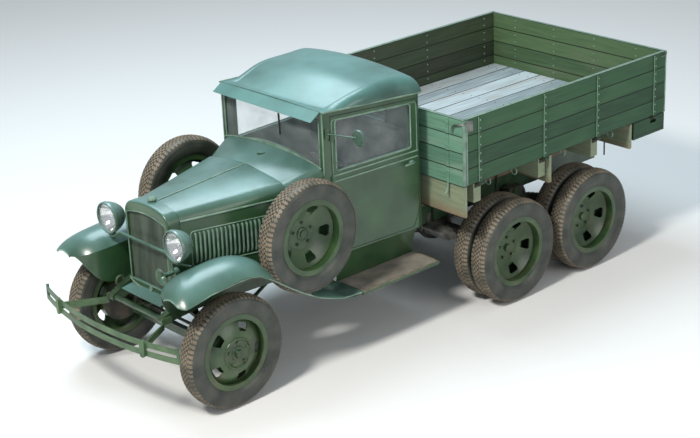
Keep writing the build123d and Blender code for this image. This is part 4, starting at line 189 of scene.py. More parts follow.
DUST = (0.20, 0.145, 0.095)
GREEN_DARK = (0.014, 0.048, 0.018)
GREEN_LIGHT = (0.036, 0.092, 0.036)
# Colour of the painted sky highlight on the upward-facing body paint
PAINTED_SKY_HIGHLIGHT = (0.14, 0.27, 0.27)
paint = worn("paint", GREEN_DARK, GREEN_LIGHT, DUST, (0.24, 0.38), sky=PAINTED_SKY_HIGHLIGHT, coat=0.45, dust_amount=0.30)
# Roof paint, with a painted sky highlight on its upward-facing surfaces
roof_paint = worn("roof_paint", (0.020, 0.062, 0.045), (0.060, 0.16, 0.135), DUST, (0.26, 0.42), scale=2.2,
                  sky=(0.13, 0.29, 0.28), coat=0.35)
wheel_paint = worn("wheel_paint", (0.016, 0.042, 0.014), (0.050, 0.100, 0.036), DUST, (0.24, 0.4),
                   scale=6.0, dust_amount=0.35, coat=0.15)
bumper_paint = worn("bumper_paint", (0.035, 0.078, 0.032), (0.085, 0.155, 0.072), DUST, (0.35, 0.55),
                    scale=8.0)
# Lighter copy of the body paint for beads, louvres, mouldings, handles, bolts and irons: a painted highlight
# along raised edges
highlight_trim_paint = worn("highlight_trim_paint", (0.10, 0.18, 0.13), (0.20, 0.30, 0.23), DUST, (0.25, 0.4), scale=14.0,
                  coat=0.3)
frame_paint = worn("frame_paint", (0.010, 0.030, 0.012), (0.035, 0.080, 0.036), DUST, (0.3, 0.5), scale=8.0,
                   dust_amount=0.4, coat=0.2)
dark_metal = worn("dark_metal", (0.012, 0.014, 0.010), (0.035, 0.040, 0.028), DUST, (0.5, 0.75), scale=7.0,
                  dust_amount=0.5)
casting = worn("casting", (0.018, 0.020, 0.015), (0.05, 0.05, 0.04), DUST, (0.55, 0.8), scale=9.0,
               dust_amount=0.5, bump=0.4, grain=120.0)
bare_metal = worn("bare_metal", (0.10, 0.10, 0.09), (0.26, 0.26, 0.24), DUST, (0.35, 0.55), metallic=0.8,
                  scale=12.0)
# Lamp paint, with a painted sky highlight on its upward-facing surfaces
lamp_paint = worn("lamp_paint", (0.03, 0.065, 0.045), (0.08, 0.14, 0.105), DUST, (0.20, 0.34),
                  sky=(0.20, 0.34, 0.33), coat=0.5)
rubber = worn("rubber", (0.018, 0.023, 0.019), (0.050, 0.058, 0.048), (0.14, 0.115, 0.085), (0.34, 0.52),
              scale=8.0, dust_amount=0.22, dust_top=1.5, bump=0.15)
tread_rubber = worn("tread_rubber", (0.095, 0.082, 0.060), (0.21, 0.175, 0.125), (0.27, 0.21, 0.145),
                    (0.7, 0.9), scale=11.0, dust_amount=0.8, dust_top=1.6, bump=0.3)
seat_hide = worn("seat_hide", (0.06, 0.055, 0.045), (0.13, 0.12, 0.10), DUST, (0.45, 0.7), scale=12.0,
                 dust_amount=0.1, bump=0.35, grain=160.0)
bakelite = worn("bakelite", (0.010, 0.010, 0.010), (0.030, 0.028, 0.026), DUST, (0.25, 0.4), scale=20.0)
core_metal = worn("core_metal", (0.06, 0.085, 0.06), (0.16, 0.20, 0.155), DUST, (0.4, 0.6), metallic=0.2,
                  scale=10.0, stretch=(1, 1, 0.15))
mat_rubber = worn("mat_rubber", (0.17, 0.155, 0.13), (0.32, 0.29, 0.24), DUST, (0.6, 0.85), scale=7.0)
edge_metal = worn("edge_metal", (0.20, 0.17, 0.10), (0.50, 0.44, 0.30), DUST, (0.3, 0.5), metallic=0.6,
                  scale=18.0)
reflector = worn("reflector", (0.62, 0.63, 0.64), (0.85, 0.86, 0.87), DUST, (0.06, 0.14), metallic=1.0,
                 dust_amount=0.0, bump=0.02)


# Share of a board's width, on each edge, that is drawn as the gap
GAP_SHARE = 0.030


def planks(name, dark, light, wear, along, pitch, rough=(0.5, 0.75), wear_amount=0.5,
           gap_color=(0.01, 0.012, 0.01), low_rust=None):
    """Painted or bare boards: a tone per board, dark gaps, long grain, worn patches and streaks.

    pitch holds the axis across the boards, a board's width and the count's offset.
    """
    material, nodes, links, shader = new_material(name)
    coord = nodes.new("ShaderNodeTexCoord").outputs["Object"]
    split = nodes.new("ShaderNodeSeparateXYZ")
    links.new(coord, split.inputs["Vector"])
    axis, width, shift = pitch
    step = maths(nodes, links, "MULTIPLY_ADD", split.outputs[axis.upper()], 1 / width, clamp=False)
    step.node.inputs[2].default_value = shift
    number = maths(nodes, links, "FLOOR", step, 0.0, clamp=False)
    board = nodes.new("ShaderNodeTexWhiteNoise")
    board.noise_dimensions = "1D"
    links.new(number, board.inputs["W"])
    stretch = {"y": (9, 0.5, 9), "x": (0.5, 9, 9)}[along]
    grain = noise(nodes, links, coord, 6.0, 9.0, stretch)
    grain_part = maths(nodes, links, "SUBTRACT", grain.outputs["Fac"], 0.22, clamp=False)
    blend = maths(nodes, links, "MULTIPLY_ADD", board.outputs["Value"], 0.45, clamp=False)
    links.new(grain_part, blend.node.inputs[2])
    tones = ramp(nodes, ((0.25, dark), (0.75, light)))
    links.new(blend, tones.inputs["Fac"])
    patches = noise(nodes, links, coord, 2.6, 10.0, {"y": (3, 0.7, 3), "x": (0.7, 3, 3)}[along])
    worn_out = ramp(nodes, ((0.52, (0, 0, 0)), (0.70, (1, 1, 1))))
    links.new(patches.outputs["Fac"], worn_out.inputs["Fac"])
    amount = maths(nodes, links, "MULTIPLY", worn_out.outputs["Color"], wear_amount)
    color = mix(nodes, links, amount, tones.outputs["Color"], wear)
    if low_rust:
        low = nodes.new("ShaderNodeMapRange")
        low.inputs["From Min"].default_value = low_rust[0]
        low.inputs["From Max"].default_value = low_rust[1]
        links.new(split.outputs["Z"], low.inputs["Value"])
        streaks = noise(nodes, links, coord, 5.0, 8.0, (4, 4, 0.8))
        cover = maths(nodes, links, "MULTIPLY", low.outputs["Result"], streaks.outputs["Fac"])
        cover = maths(nodes, links, "MULTIPLY", cover, 1.5)
        color = mix(nodes, links, cover, color, low_rust[2])
    within = maths(nodes, links, "FRACT", step, 0.0, clamp=False)
    on_board = maths(nodes, links, "COMPARE", within, 0.5, clamp=False)
    on_board.node.inputs[2].default_value = 0.5 - GAP_SHARE
    color = mix(nodes, links, on_board, gap_color, color)
    links.new(color, shader.inputs["Base Color"])
    gloss = nodes.new("ShaderNodeMapRange")
    gloss.inputs["To Min"].default_value = rough[0]
    gloss.inputs["To Max"].default_value = rough[1]
    links.new(grain.outputs["Fac"], gloss.inputs["Value"])
    links.new(gloss.outputs["Result"], shader.inputs["Roughness"])
    relief = nodes.new("ShaderNodeBump")
    relief.inputs["Strength"].default_value = 0.25
    relief.inputs["Distance"].default_value = 0.004
    links.new(grain.outputs["Fac"], relief.inputs["Height"])
    links.new(relief.outputs["Normal"], shader.inputs["Normal"])
    return material


BOARD_LOW, BOARD_HEIGHT, BOARD_ROWS = 1.167, 0.539, 4
BOARD_PITCH = BOARD_HEIGHT / BOARD_ROWS
# A board's width, and the offset that puts the first gap at the lowest board's lower edge
BOARD = (BOARD_PITCH, -BOARD_LOW / BOARD_PITCH)
side_boards = planks("side_boards", (0.010, 0.045, 0.018), (0.028, 0.092, 0.038), (0.055, 0.12, 0.06), "y",
                     ("z", *BOARD), wear_amount=0.35)
# Headboard: a lighter, mint copy of the board paint, as painted sunlight on it
sunlit_head_boards = planks("sunlit_head_boards", (0.075, 0.175, 0.115), (0.14, 0.29, 0.20), (0.24, 0.33, 0.25), "x",
                     ("z", *BOARD), wear_amount=0.45)
gate_boards = planks("gate_boards", (0.040, 0.085, 0.034), (0.085, 0.145, 0.062), (0.13, 0.15, 0.09), "x",
                     ("z", *BOARD), wear_amount=0.4)
floor_wood = planks("floor_wood", (0.20, 0.245, 0.26), (0.44, 0.50, 0.52), (0.30, 0.26, 0.22), "y",
                    ("x", 0.194, 5.0), (0.6, 0.85), 0.45, (0.03, 0.03, 0.03))
far_boards = planks("far_boards", (0.022, 0.030, 0.016), (0.046, 0.070, 0.034), (0.060, 0.055, 0.036), "y",
                    ("z", *BOARD), wear_amount=0.5)
beam_wood = planks("beam_wood", (0.12, 0.16, 0.10), (0.24, 0.28, 0.18), (0.30, 0.25, 0.17), "x",
                   ("z", 0.3, 0.0), wear_amount=0.5, low_rust=(1.0, 0.88, (0.20, 0.11, 0.06)))


def glass_material(name, tint, dust, amount, rough=0.04):
    material, nodes, links, shader = new_material(name)
    coord = nodes.new("ShaderNodeTexCoord").outputs["Object"]
    smear = noise(nodes, links, coord, 5.0, 8.0)
    film = ramp(nodes, ((0.40, (0, 0, 0)), (0.75, (1, 1, 1))))
    links.new(smear.outputs["Fac"], film.inputs["Fac"])
    cover = maths(nodes, links, "MULTIPLY", film.outputs["Color"], amount)
    links.new(mix(nodes, links, cover, tint, dust), shader.inputs["Base Color"])
    opacity = nodes.new("ShaderNodeMapRange")
    opacity.inputs["To Min"].default_value = 0.08
    opacity.inputs["To Max"].default_value = 0.24
    links.new(cover, opacity.inputs["Value"])
    links.new(opacity.outputs["Result"], shader.inputs["Alpha"])
    shader.inputs["Roughness"].default_value = rough
    return material


glass = glass_material("glass", (0.55, 0.66, 0.68), (0.55, 0.54, 0.50), 0.6)
lens_glass = glass_material("lens_glass", (0.80, 0.82, 0.82), (0.6, 0.6, 0.58), 0.3)

NODE_MATERIALS = {
    "frame_rails": frame_paint, "cross_members": frame_paint, "front_axle": frame_paint,
    "front_spring": dark_metal, "bogie_springs": dark_metal, "rear_axle_1": casting,
    "rear_axle_2": casting, "engine_gearbox": casting, "drive_shafts": bare_metal, "exhaust": bare_metal,
    "radiator_core": core_metal, "headlamps": lamp_paint, "headlamp_lenses": lens_glass,
    "cab_glass": glass, "seat": seat_hide, "steering_column": dark_metal, "steering_wheel": bakelite,
    "bed_floor": floor_wood, "bed_beams": beam_wood, "hinge_brackets": dark_metal,
    "headboard": sunlit_head_boards, "side_left": side_boards, "side_right": far_boards, "tailgate": gate_boards,
    "knuckle_left": casting, "knuckle_right": casting, "tie_rod": dark_metal, "door_glass_left": glass,
    "door_glass_right": glass, "roof": roof_paint, "bumper": bumper_paint, "locker": side_boards,
}
# Nodes that stay flat shaded
FLAT_NODES = ("radiator_core", "bed_floor", "bed_beams", "headboard", "tailgate", "side_left", "side_right")
for name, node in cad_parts.items():
    material = NODE_MATERIALS.get(name)
    if material is None:
        material = rubber if "tyre" in name else wheel_paint if "wheel" in name else paint
    node.data.materials.clear()
    node.data.materials.append(material)
    if name not in FLAT_NODES:
        for polygon in node.data.polygons:
            polygon.use_smooth = True
        node.data.set_sharp_from_angle(angle=math.radians(35))


# Mesh helpers
class Kit:
    """Gathers small forms of one material that ride on one body into one mesh."""

    def __init__(self, name, body, material, slot):
        self.name, self.body, self.material, self.slot = name, body, material, slot
        self.mesh = bmesh.new()

    def box(self, low, high, bevel=0.0, matrix=None):
        made = bmesh.ops.create_cube(self.mesh, size=1.0)["verts"]
        low, high = Vector(low), Vector(high)
        for vertex in made:
            vertex.co = Vector(((low[i] + high[i]) / 2 + vertex.co[i] * (high[i] - low[i])) for i in range(3))
        if bevel:
            edges = list({e for v in made for e in v.link_edges})
            out = bmesh.ops.bevel(self.mesh, geom=edges, offset=bevel, segments=2, affect="EDGES",
                                  profile=0.6)
            made = list({v for f in out["faces"] for v in f.verts} | {v for v in made if v.is_valid})
        if matrix is not None:
            bmesh.ops.transform(self.mesh, matrix=matrix, verts=made)
        return made

    def lathe(self, profile, centre, axis, segments=24):
        """Turns (distance along the axis, radius) points about an axis through centre."""
        axis = Vector(axis).normalized()
        side = axis.orthogonal().normalized()
        other = axis.cross(side)
        rings = []
        for along, radius in profile:
            if radius < 1e-6:
                rings.append([self.mesh.verts.new(Vector(centre) + axis * along)])
                continue
            ring = []
            for i in range(segments):
                angle = 2 * math.pi * i / segments
                spoke = side * math.cos(angle) + other * math.sin(angle)
                ring.append(self.mesh.verts.new(Vector(centre) + axis * along + spoke * radius))
            rings.append(ring)
        for first, second in zip(rings, rings[1:]):
            for i in range(segments):
                j = (i + 1) % segments
                if len(first) == 1 and len(second) == 1:
                    continue
                if len(first) == 1:
                    self.mesh.faces.new((first[0], second[i], second[j]))
                elif len(second) == 1:
                    self.mesh.faces.new((first[i], second[0], first[j]))
                else:
                    self.mesh.faces.new((first[i], second[i], second[j], first[j]))

    def tube(self, points, radius, segments=10, flat=1.0):
        """A capped tube along points. flat squeezes its round section in one direction."""
        points = [Vector(p) for p in points]
        rings = []
        last = None
        for i, point in enumerate(points):
            direction = (points[min(i + 1, len(points) - 1)] - points[max(i - 1, 0)]).normalized()
            if last is None:
                side = direction.orthogonal().normalized()
            else:
                side = (last - direction * last.dot(direction)).normalized()
            last = side
            other = direction.cross(side)
            ring = []
            for k in range(segments):
                angle = 2 * math.pi * k / segments
                ring.append(self.mesh.verts.new(
                    point + side * math.cos(angle) * radius + other * math.sin(angle) * radius * flat
                ))
            rings.append(ring)
        for first, second in zip(rings, rings[1:]):
            for k in range(segments):
                n = (k + 1) % segments
                self.mesh.faces.new((first[k], first[n], second[n], second[k]))
        self.mesh.faces.new(list(reversed(rings[0])))
        self.mesh.faces.new(rings[-1])

    def dome(self, place, axis, radius=0.006):
        shape = ((0, 1.0), (0.45, 0.8), (0.7, 0.3), (0.72, 0))
        self.lathe([(along * radius, turn * radius) for along, turn in shape], place, axis, 8)

    def build(self, smooth=True):
        bmesh.ops.recalc_face_normals(self.mesh, faces=self.mesh.faces)
        data = bpy.data.meshes.new(self.name)
        self.mesh.to_mesh(data)
        self.mesh.free()
        data.materials.append(self.material)
        if smooth:
            for polygon in data.polygons:
                polygon.use_smooth = True
            data.set_sharp_from_angle(angle=math.radians(38))
        piece = bpy.data.objects.new(self.name, data)
        bpy.context.scene.collection.objects.link(piece)
        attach(piece, self.body)
        return piece


# Wheel places, as in the CAD model
SIDES = (("left", 1), ("right", -1))
FRONT_X = 0.7025
REAR_AXLES = ((1, 2.738), (2, 3.667))
REAR_OUTER_X, REAR_INNER_X = 0.930, 0.740
SPARE_X, SPARE_BEHIND, SPARE_Z = 0.735, 0.748, 1.105

# Tyres: one detailed tyre mesh, placed for every wheel
tyre_points = (
    (-0.0546, 0.2583), (-0.0550, 0.2900), (-0.0618, 0.2906), (-0.0690, 0.2990), (-0.0745, 0.3110),
    (-0.0752, 0.3135), (-0.0778, 0.3160), (-0.0800, 0.3260), (-0.0826, 0.3400), (-0.0839, 0.3560),
    (-0.0832, 0.3720), (-0.0808, 0.3870), (-0.0812, 0.3900), (-0.0780, 0.3990), (-0.0725, 0.4090),
    (-0.0650, 0.4175), (-0.0610, 0.4210), (-0.0520, 0.4240), (-0.0300, 0.4275), (0.0, 0.4285),
)
tyre_profile = list(tyre_points) + [(-x, r) for x, r in reversed(tyre_points[:-1])]
tyre_mesh = bmesh.new()
RING = 96
rings = []
for x, radius in tyre_profile:
    rings.append([
        tyre_mesh.verts.new((x, radius * math.cos(2 * math.pi * i / RING),
                             radius * math.sin(2 * math.pi * i / RING)))
        for i in range(RING)
    ])
for first, second in zip(rings, rings[1:]):
    for i in range(RING):
        j = (i + 1) % RING
        tyre_mesh.faces.new((first[i], first[j], second[j], second[i]))
for i in range(RING):
    j = (i + 1) % RING
    tyre_mesh.faces.new((rings[-1][i], rings[-1][j], rings[0][j], rings[0][i]))


def lug(mesh, x0, x1, angle, width, skew, inner, outer):
    """One tread block between x0 and x1. inner and outer give the radius under and over it."""
    corners = []
    for radius_at, taper in ((inner, 1.0), (outer, 0.82)):
        for x, part in ((x0, -1), (x1, 1)):
            for side in (-1, 1):
                turn = angle + skew * part / 2 + side * width * taper / 2
                r = radius_at(x)
                corners.append(mesh.verts.new((x, r * math.cos(turn), r * math.sin(turn))))
    a, b, c, d, e, f, g, h = corners
    for face in ((e, f, h, g), (a, b, f, e), (d, c, g, h), (b, d, h, f), (c, a, e, g)):
        made = mesh.faces.new(face)
        made.material_index = 1


def crown(x):
    return 0.4330 - 0.012 * (abs(x) / 0.064) ** 2


def under(x):
    return crown(x) - 0.009


TREAD_ROWS = ((-0.0435, -0.0285, 1), (-0.0255, -0.0100, -1), (-0.0070, 0.0070, 1), (0.0100, 0.0255, -1),
              (0.0285, 0.0435, 1))
PITCH = 72
for step in range(PITCH):
    angle = 2 * math.pi * step / PITCH
    for number, (x0, x1, lean) in enumerate(TREAD_ROWS):
        lug(tyre_mesh, x0, x1, angle + (number % 2) * math.pi / PITCH, 0.058, lean * 0.028, under, crown)
    for side in (-1, 1):
        x0, x1 = sorted((side * 0.0465, side * 0.0640))
        lug(tyre_mesh, x0, x1, angle, 0.060, side * 0.014, under, crown)
        shoulder = []
        for turn in (angle - 0.028, angle + 0.028):
            for x, r in ((side * 0.0640, 0.4208), (side * 0.0735, 0.4110), (side * 0.0700, 0.4050),
                         (side * 0.0600, 0.4120)):
                shoulder.append(tyre_mesh.verts.new((x, r * math.cos(turn), r * math.sin(turn))))
        p = shoulder
        for face in ((p[0], p[1], p[5], p[4]), (p[1], p[2], p[6], p[5]), (p[0], p[3], p[2], p[1]),
                     (p[4], p[5], p[6], p[7])):
            tyre_mesh.faces.new(face).material_index = 1
bmesh.ops.recalc_face_normals(tyre_mesh, faces=tyre_mesh.faces)
tyre_data = bpy.data.meshes.new("tyre")
tyre_mesh.to_mesh(tyre_data)
tyre_mesh.free()
tyre_data.materials.append(rubber)
tyre_data.materials.append(tread_rubber)
for polygon in tyre_data.polygons:
    polygon.use_smooth = True
tyre_data.set_sharp_from_angle(angle=math.radians(32))

TYRES = []
for side_name, side in SIDES:
    TYRES.append((f"tyre_front_{side_name}", f"front_wheel_{side_name}", side * FRONT_X, 0.0, AXLE_Z,
                  f"front_tyre_{side_name}"))
    for number, behind in REAR_AXLES:
        for place, x in (("outer", REAR_OUTER_X), ("inner", REAR_INNER_X)):
            TYRES.append((f"tyre_{number}_{place}_{side_name}", f"rear_wheels_{number}_{side_name}",
                          side * x, behind, AXLE_Z, f"rear_tyres_{number}_{side_name}"))
    TYRES.append((f"tyre_spare_{side_name}", "chassis", side * SPARE_X, SPARE_BEHIND, SPARE_Z,
                  "spare_tyres"))
for name, body, x, behind, z, node in TYRES:
    piece = bpy.data.objects.new(name, tyre_data)
    bpy.context.scene.collection.objects.link(piece)
    piece.location = (x, st(behind), z)
    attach(piece, body)
    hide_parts(node)

# Wheel nuts, hub details and rim edges
NUTS = 5
NUT_CIRCLE = 0.088
DISC_OUT = 0.075
RIM_OUT = 0.0555
RIM_EDGE = ((0.0, 0.282), (0.004, 0.288), (0.006, 0.2890), (0.0062, 0.2780), (0.002, 0.2760))
HUB_RING = ((0, 0.124), (0.006, 0.122), (0.011, 0.115), (0.011, 0.109), (0.004, 0.103), (0, 0.101))
FRONT_NUT = ((0, 0.014), (0.003, 0.014), (0.004, 0.011), (0.013, 0.0105), (0.016, 0.006), (0.016, 0))
REAR_NUT = ((0, 0.016), (0.005, 0.016), (0.006, 0.012), (0.024, 0.0115), (0.028, 0.006), (0.028, 0))
SPARE_NUT = ((0, 0.014), (0.004, 0.014), (0.005, 0.011), (0.016, 0.010), (0.018, 0.005), (0.018, 0))
SPARE_CAP = ((0, 0.050), (0.006, 0.050), (0.010, 0.044), (0.010, 0.030), (0.018, 0.028), (0.018, 0))
SPARE_DISC_X = 0.668


def wheel_nuts(kit, x, behind, z, side, profile):
    """A ring of nuts on a wheel's disc."""
    for k in range(NUTS):
        angle = math.radians(90 + 360 / NUTS * k)
        place = (x, st(behind) + NUT_CIRCLE * math.cos(angle), z + NUT_CIRCLE * math.sin(angle))
        kit.lathe(profile, place, (side, 0, 0), 6)


for side_name, side in SIDES:
    kit = Kit(f"hub_front_{side_name}", f"front_wheel_{side_name}", wheel_paint, "body_paint")
    face_x = side * (FRONT_X + DISC_OUT)
    wheel_nuts(kit, face_x, 0, AXLE_Z, side, FRONT_NUT)
    kit.lathe(HUB_RING, (face_x, st(0), AXLE_Z), (side, 0, 0), 48)
    kit.lathe(RIM_EDGE, (side * (FRONT_X + RIM_OUT), st(0), AXLE_Z), (side, 0, 0), 64)
    kit.build()
    for number, behind in REAR_AXLES:
        kit = Kit(f"hub_rear_{number}_{side_name}", f"rear_wheels_{number}_{side_name}", wheel_paint,
                  "body_paint")
        wheel_nuts(kit, side * (REAR_OUTER_X - DISC_OUT), behind, AXLE_Z, side, REAR_NUT)
        kit.lathe(RIM_EDGE, (side * (REAR_OUTER_X + RIM_OUT), st(behind), AXLE_Z), (side, 0, 0), 64)
        kit.build()
spares = Kit("spare_bolts", "chassis", wheel_paint, "body_paint")
for side in (1, -1):
    wheel_nuts(spares, side * SPARE_DISC_X, SPARE_BEHIND, SPARE_Z, side, SPARE_NUT)
    spares.lathe(RIM_EDGE, (side * (SPARE_X + RIM_OUT), st(SPARE_BEHIND), SPARE_Z), (side, 0, 0), 64)
    spares.lathe(SPARE_CAP, (side * SPARE_DISC_X, st(SPARE_BEHIND), SPARE_Z), (side, 0, 0), 32)
spares.build()


# Hood: louvres in their bead frame, moulding and hinge line
HOOD_FRONT, HOOD_LENGTH = -0.051, 0.823
HOOD_FRONT_HALF, HOOD_REAR_HALF = 0.262, 0.490
LOUVRES, LOUVRE_FIRST, LOUVRE_PITCH, LOUVRE_RADIUS = 21, 0.055, 0.0325, 0.0085
# Each point of a louvre: how far it stands out, and its height
LOUVRE_LINE = (
    (-0.004, 0.985), (0.005, 1.000), (0.008, 1.030), (0.008, 1.180), (0.005, 1.205), (-0.004, 1.217),
)
# Bead round the louvres: distance b and height
LOUVRE_BEAD = (
    (0.022, 0.975), (0.022, 1.215), (0.030, 1.228), (0.040, 1.232), (0.700, 1.232), (0.722, 1.226),
    (0.730, 1.215), (0.730, 0.975), (0.722, 0.965), (0.700, 0.960), (0.040, 0.960), (0.026, 0.965),
    (0.022, 0.975),
)


def hood_share(b):
    """How far b lies along the hood, from 0 at its front to 1 at its rear."""
    return (b - HOOD_FRONT) / HOOD_LENGTH


def hood_x(b):
    return HOOD_FRONT_HALF + (HOOD_REAR_HALF - HOOD_FRONT_HALF) * hood_share(b)


for side_name, side in SIDES:
    kit = Kit(f"louvres_{side_name}", "chassis", highlight_trim_paint, "body_paint")
    for k in range(LOUVRES):
        b = LOUVRE_FIRST + k * LOUVRE_PITCH
        kit.tube([(side * (hood_x(b) + out), st(b), z) for out, z in LOUVRE_LINE], LOUVRE_RADIUS, 8)
    kit.tube([(side * (hood_x(b) + 0.001), st(b), z) for b, z in LOUVRE_BEAD], 0.005, 8)
    kit.build()
    moulding = Kit(f"hood_moulding_{side_name}", f"hood_top_{side_name}", highlight_trim_paint, "body_paint")
    line = []
    for k in range(9):
        b = -0.049 + 0.8195 * k / 8
        line.append((side * (hood_x(b) - 0.001), st(b), 1.3265 + 0.015 * hood_share(b)))
    moulding.tube(line, 0.008, 10)
    moulding.build()
hinge = Kit("hood_hinge", "chassis", highlight_trim_paint, "dark_metal")
hinge.tube([(0, st(-0.050), 1.4255), (0, st(0.776), 1.4845)], 0.0055, 10)
hinge.build()

# Radiator: fins with cross strips, shell bead, curved lower bead, starting handle boss and filler cap
FINS, FIN_PITCH, FIN_HALF = 67, 0.007, 0.0014
fins = Kit("radiator_fins", "chassis", core_metal, "core")
for k in range(FINS):
    x = (k - (FINS - 1) / 2) * FIN_PITCH
    top = 1.352 - 0.040 * (x / 0.235) ** 2
    fins.box((x - FIN_HALF, st(-0.146), 0.786), (x + FIN_HALF, st(-0.137), top - 0.004))
for z in (0.93, 1.08, 1.22):
    fins.box((-0.234, st(-0.1415), z), (0.234, st(-0.138), z + 0.0015))
fins.build(False)
HANDLE_BOSS = ((0, 0.020), (0.006, 0.020), (0.008, 0.016), (0.003, 0.011), (0.003, 0))
FILLER_CAP = ((0, 0.036), (0.010, 0.036), (0.014, 0.030), (0.018, 0.026), (0.020, 0))
shell_trim = Kit("radiator_trim", "chassis", highlight_trim_paint, "body_paint")
bead = [(-0.2385, 0.783), (-0.2385, 1.306)]
for k in range(11):
    x = -0.2300 + 0.046 * k
    bead.append((x, 1.3535 - 0.038 * (x / 0.236) ** 2))
bead += [(0.2385, 1.306), (0.2385, 0.783), (-0.2385, 0.783)]
shell_trim.tube([(x, st(-0.1655), z) for x, z in bead], 0.0045, 8)
lower = []
for degrees in range(180, 361, 12):
    angle = math.radians(degrees)
    lower.append((0.255 * math.cos(angle), st(-0.170), 0.792 + 0.062 * math.sin(angle)))
shell_trim.tube(lower, 0.0055, 8)
shell_trim.lathe(HANDLE_BOSS, (0, st(-0.168), 0.760), (0, -1, 0), 20)
shell_trim.lathe(FILLER_CAP, (0, st(-0.0945), 1.4465), (0, 0, 1), 28)
shell_trim.build()

# Tow hooks on the frame's horns
HOOK_RADIUS = 0.035
tow = Kit("tow_hooks", "chassis", bumper_paint, "body_paint")
for side in (1, -1):
    arc = []
    for degrees in range(-60, 181, 20):
        angle = math.radians(degrees)
        forwards, upwards = HOOK_RADIUS * math.cos(angle), HOOK_RADIUS * math.sin(angle)
        arc.append((side * 0.352, st(-0.200) - forwards, 0.735 + upwards))
    tow.tube(arc, 0.009, 8)
tow.build()

# Headlamps: reflectors, bulbs, lens ribs and rims
LENS_RADIUS, RIB_PITCH = 0.105, 0.016
LAMP_BOWL = ((0.0245, 0.1088), (0.045, 0.098), (0.075, 0.076), (0.100, 0.046), (0.112, 0.016), (0.114, 0))
LAMP_BULB = ((0.040, 0), (0.042, 0.009), (0.052, 0.013), (0.064, 0.009), (0.075, 0.008), (0.105, 0.010))
LAMP_RIM = ((0.002, 0.1095), (-0.003, 0.1120), (-0.004, 0.1170), (0.000, 0.1222), (0.010, 0.1238),
            (0.024, 0.1238), (0.027, 0.1215))
for side_name, side in SIDES:
    centre = Vector((side * 0.412, st(-0.232), 1.230))
    bowl = Kit(f"reflector_{side_name}", "chassis", reflector, "lamp_paint")
    bowl.lathe(LAMP_BOWL, centre, (0, 1, 0), 48)
    bowl.lathe(LAMP_BULB, centre, (0, 1, 0), 20)
    bowl.build()
    ribs = Kit(f"lens_ribs_{side_name}", "chassis", lens_glass, "lens")
    for k in range(-6, 7):
        x = k * RIB_PITCH
        half = math.sqrt(LENS_RADIUS ** 2 - x * x)
        rib = ((0.0085, -half), (0.0065, 0), (0.0085, half))
        ribs.tube([centre + Vector((x, inwards, z)) for inwards, z in rib], 0.0022, 6)
    ribs.build()
    rim = Kit(f"lamp_rim_{side_name}", "chassis", lamp_paint, "lamp_paint")
    rim.lathe(LAMP_RIM, centre, (0, 1, 0), 64)
    rim.build()

# Cab: windscreen frame, cowl bead, drip rails and pillars
CAB_FRONT, CAB_LENGTH = 1.052, 0.978
CAB_FRONT_HALF, CAB_SPREAD = 0.590, 0.060
EAVE_FRONT_Z, EAVE_DROP = 1.945, 0.058
COWL_SHOULDER = 0.508


def cab_share(b):
    """How far b lies along the cab, from 0 at its front to 1 at its rear."""
    return (b - CAB_FRONT) / CAB_LENGTH


def cab_half(b):
    return CAB_FRONT_HALF + CAB_SPREAD * cab_share(b)


def eave_z(b):
    return EAVE_FRONT_Z - EAVE_DROP * cab_share(b)


trim = Kit("cab_trim", "chassis", highlight_trim_paint, "body_paint")
screen = []
for k in range(21):
    x = -0.553 + 1.106 * k / 20
    screen.append((x, 1.572 - 0.086 * (x / 0.556) ** 2))
screen += [(0.556, 1.50), (0.556, 1.862), (0.548, 1.874), (0.530, 1.877), (-0.530, 1.877), (-0.548, 1.874),
           (-0.556, 1.862), (-0.556, 1.50), (-0.553, 1.488)]
trim.tube([(x, st(1.0505), z) for x, z in screen], 0.0065, 8)
cowl_bead = []
for k in range(25):
    x = -0.575 + 1.15 * k / 24
    past_shoulder = max(0, abs(x) - COWL_SHOULDER)
    z = 1.562 - 0.038 * (abs(x) / COWL_SHOULDER) ** 2 - 0.30 * past_shoulder ** 1.2
    cowl_bead.append((x, st(1.044), z))
trim.tube(cowl_bead, 0.006, 8)
for side in (1, -1):
    rail = []
    for k in range(12):
        b = 1.045 + 0.960 * k / 11
        rail.append((side * (cab_half(b) + 0.0085), st(b), eave_z(b) - 0.002))
    trim.tube(rail, 0.007, 8)
    trim.tube([(side * 0.5915, st(1.0535), 1.46), (side * 0.5915, st(1.0535), 1.93)], 0.006, 8)
rear_line = []
for k in range(13):
    rear_line.append((-0.57 + 1.14 * k / 12, st(2.0315), 1.378))
trim.tube(rear_line, 0.007, 8)
trim.build()

# Wiper with its motor
WIPER_X, WIPER_Z = 0.10, 1.888
WIPER_MOTOR = ((0, 0.018), (0.014, 0.018), (0.018, 0.012), (0.018, 0))
wiper = Kit("wiper", "chassis", dark_metal, "dark_metal")
wiper.lathe(WIPER_MOTOR, (WIPER_X, st(1.052), WIPER_Z), (0, -1, 0), 16)
wiper.tube([(WIPER_X, st(1.042), WIPER_Z), (WIPER_X, st(1.046), 1.80), (WIPER_X, st(1.050), 1.70)], 0.0035, 6)
wiper.box((0.097, st(1.050), 1.665), (0.103, st(1.058), 1.835), 0.001)
wiper.build()

# Doors: window frame, edge and belt mouldings, and the handle
WINDOW_HEAD_DROP = 0.076
BELT_HEIGHTS = (1.382, 1.428)
HANDLE_B, HANDLE_Z = 1.900, 1.345
DOOR_EDGE = ((1.140, 1.43), (1.140, 1.845), (1.152, 1.865), (1.95, 1.822), (1.962, 1.80), (1.962, 1.43))
HANDLE_ROSE = ((0, 0.024), (0.004, 0.024), (0.007, 0.018), (0.020, 0.010), (0.031, 0.010), (0.033, 0.008),
               (0.033, 0))
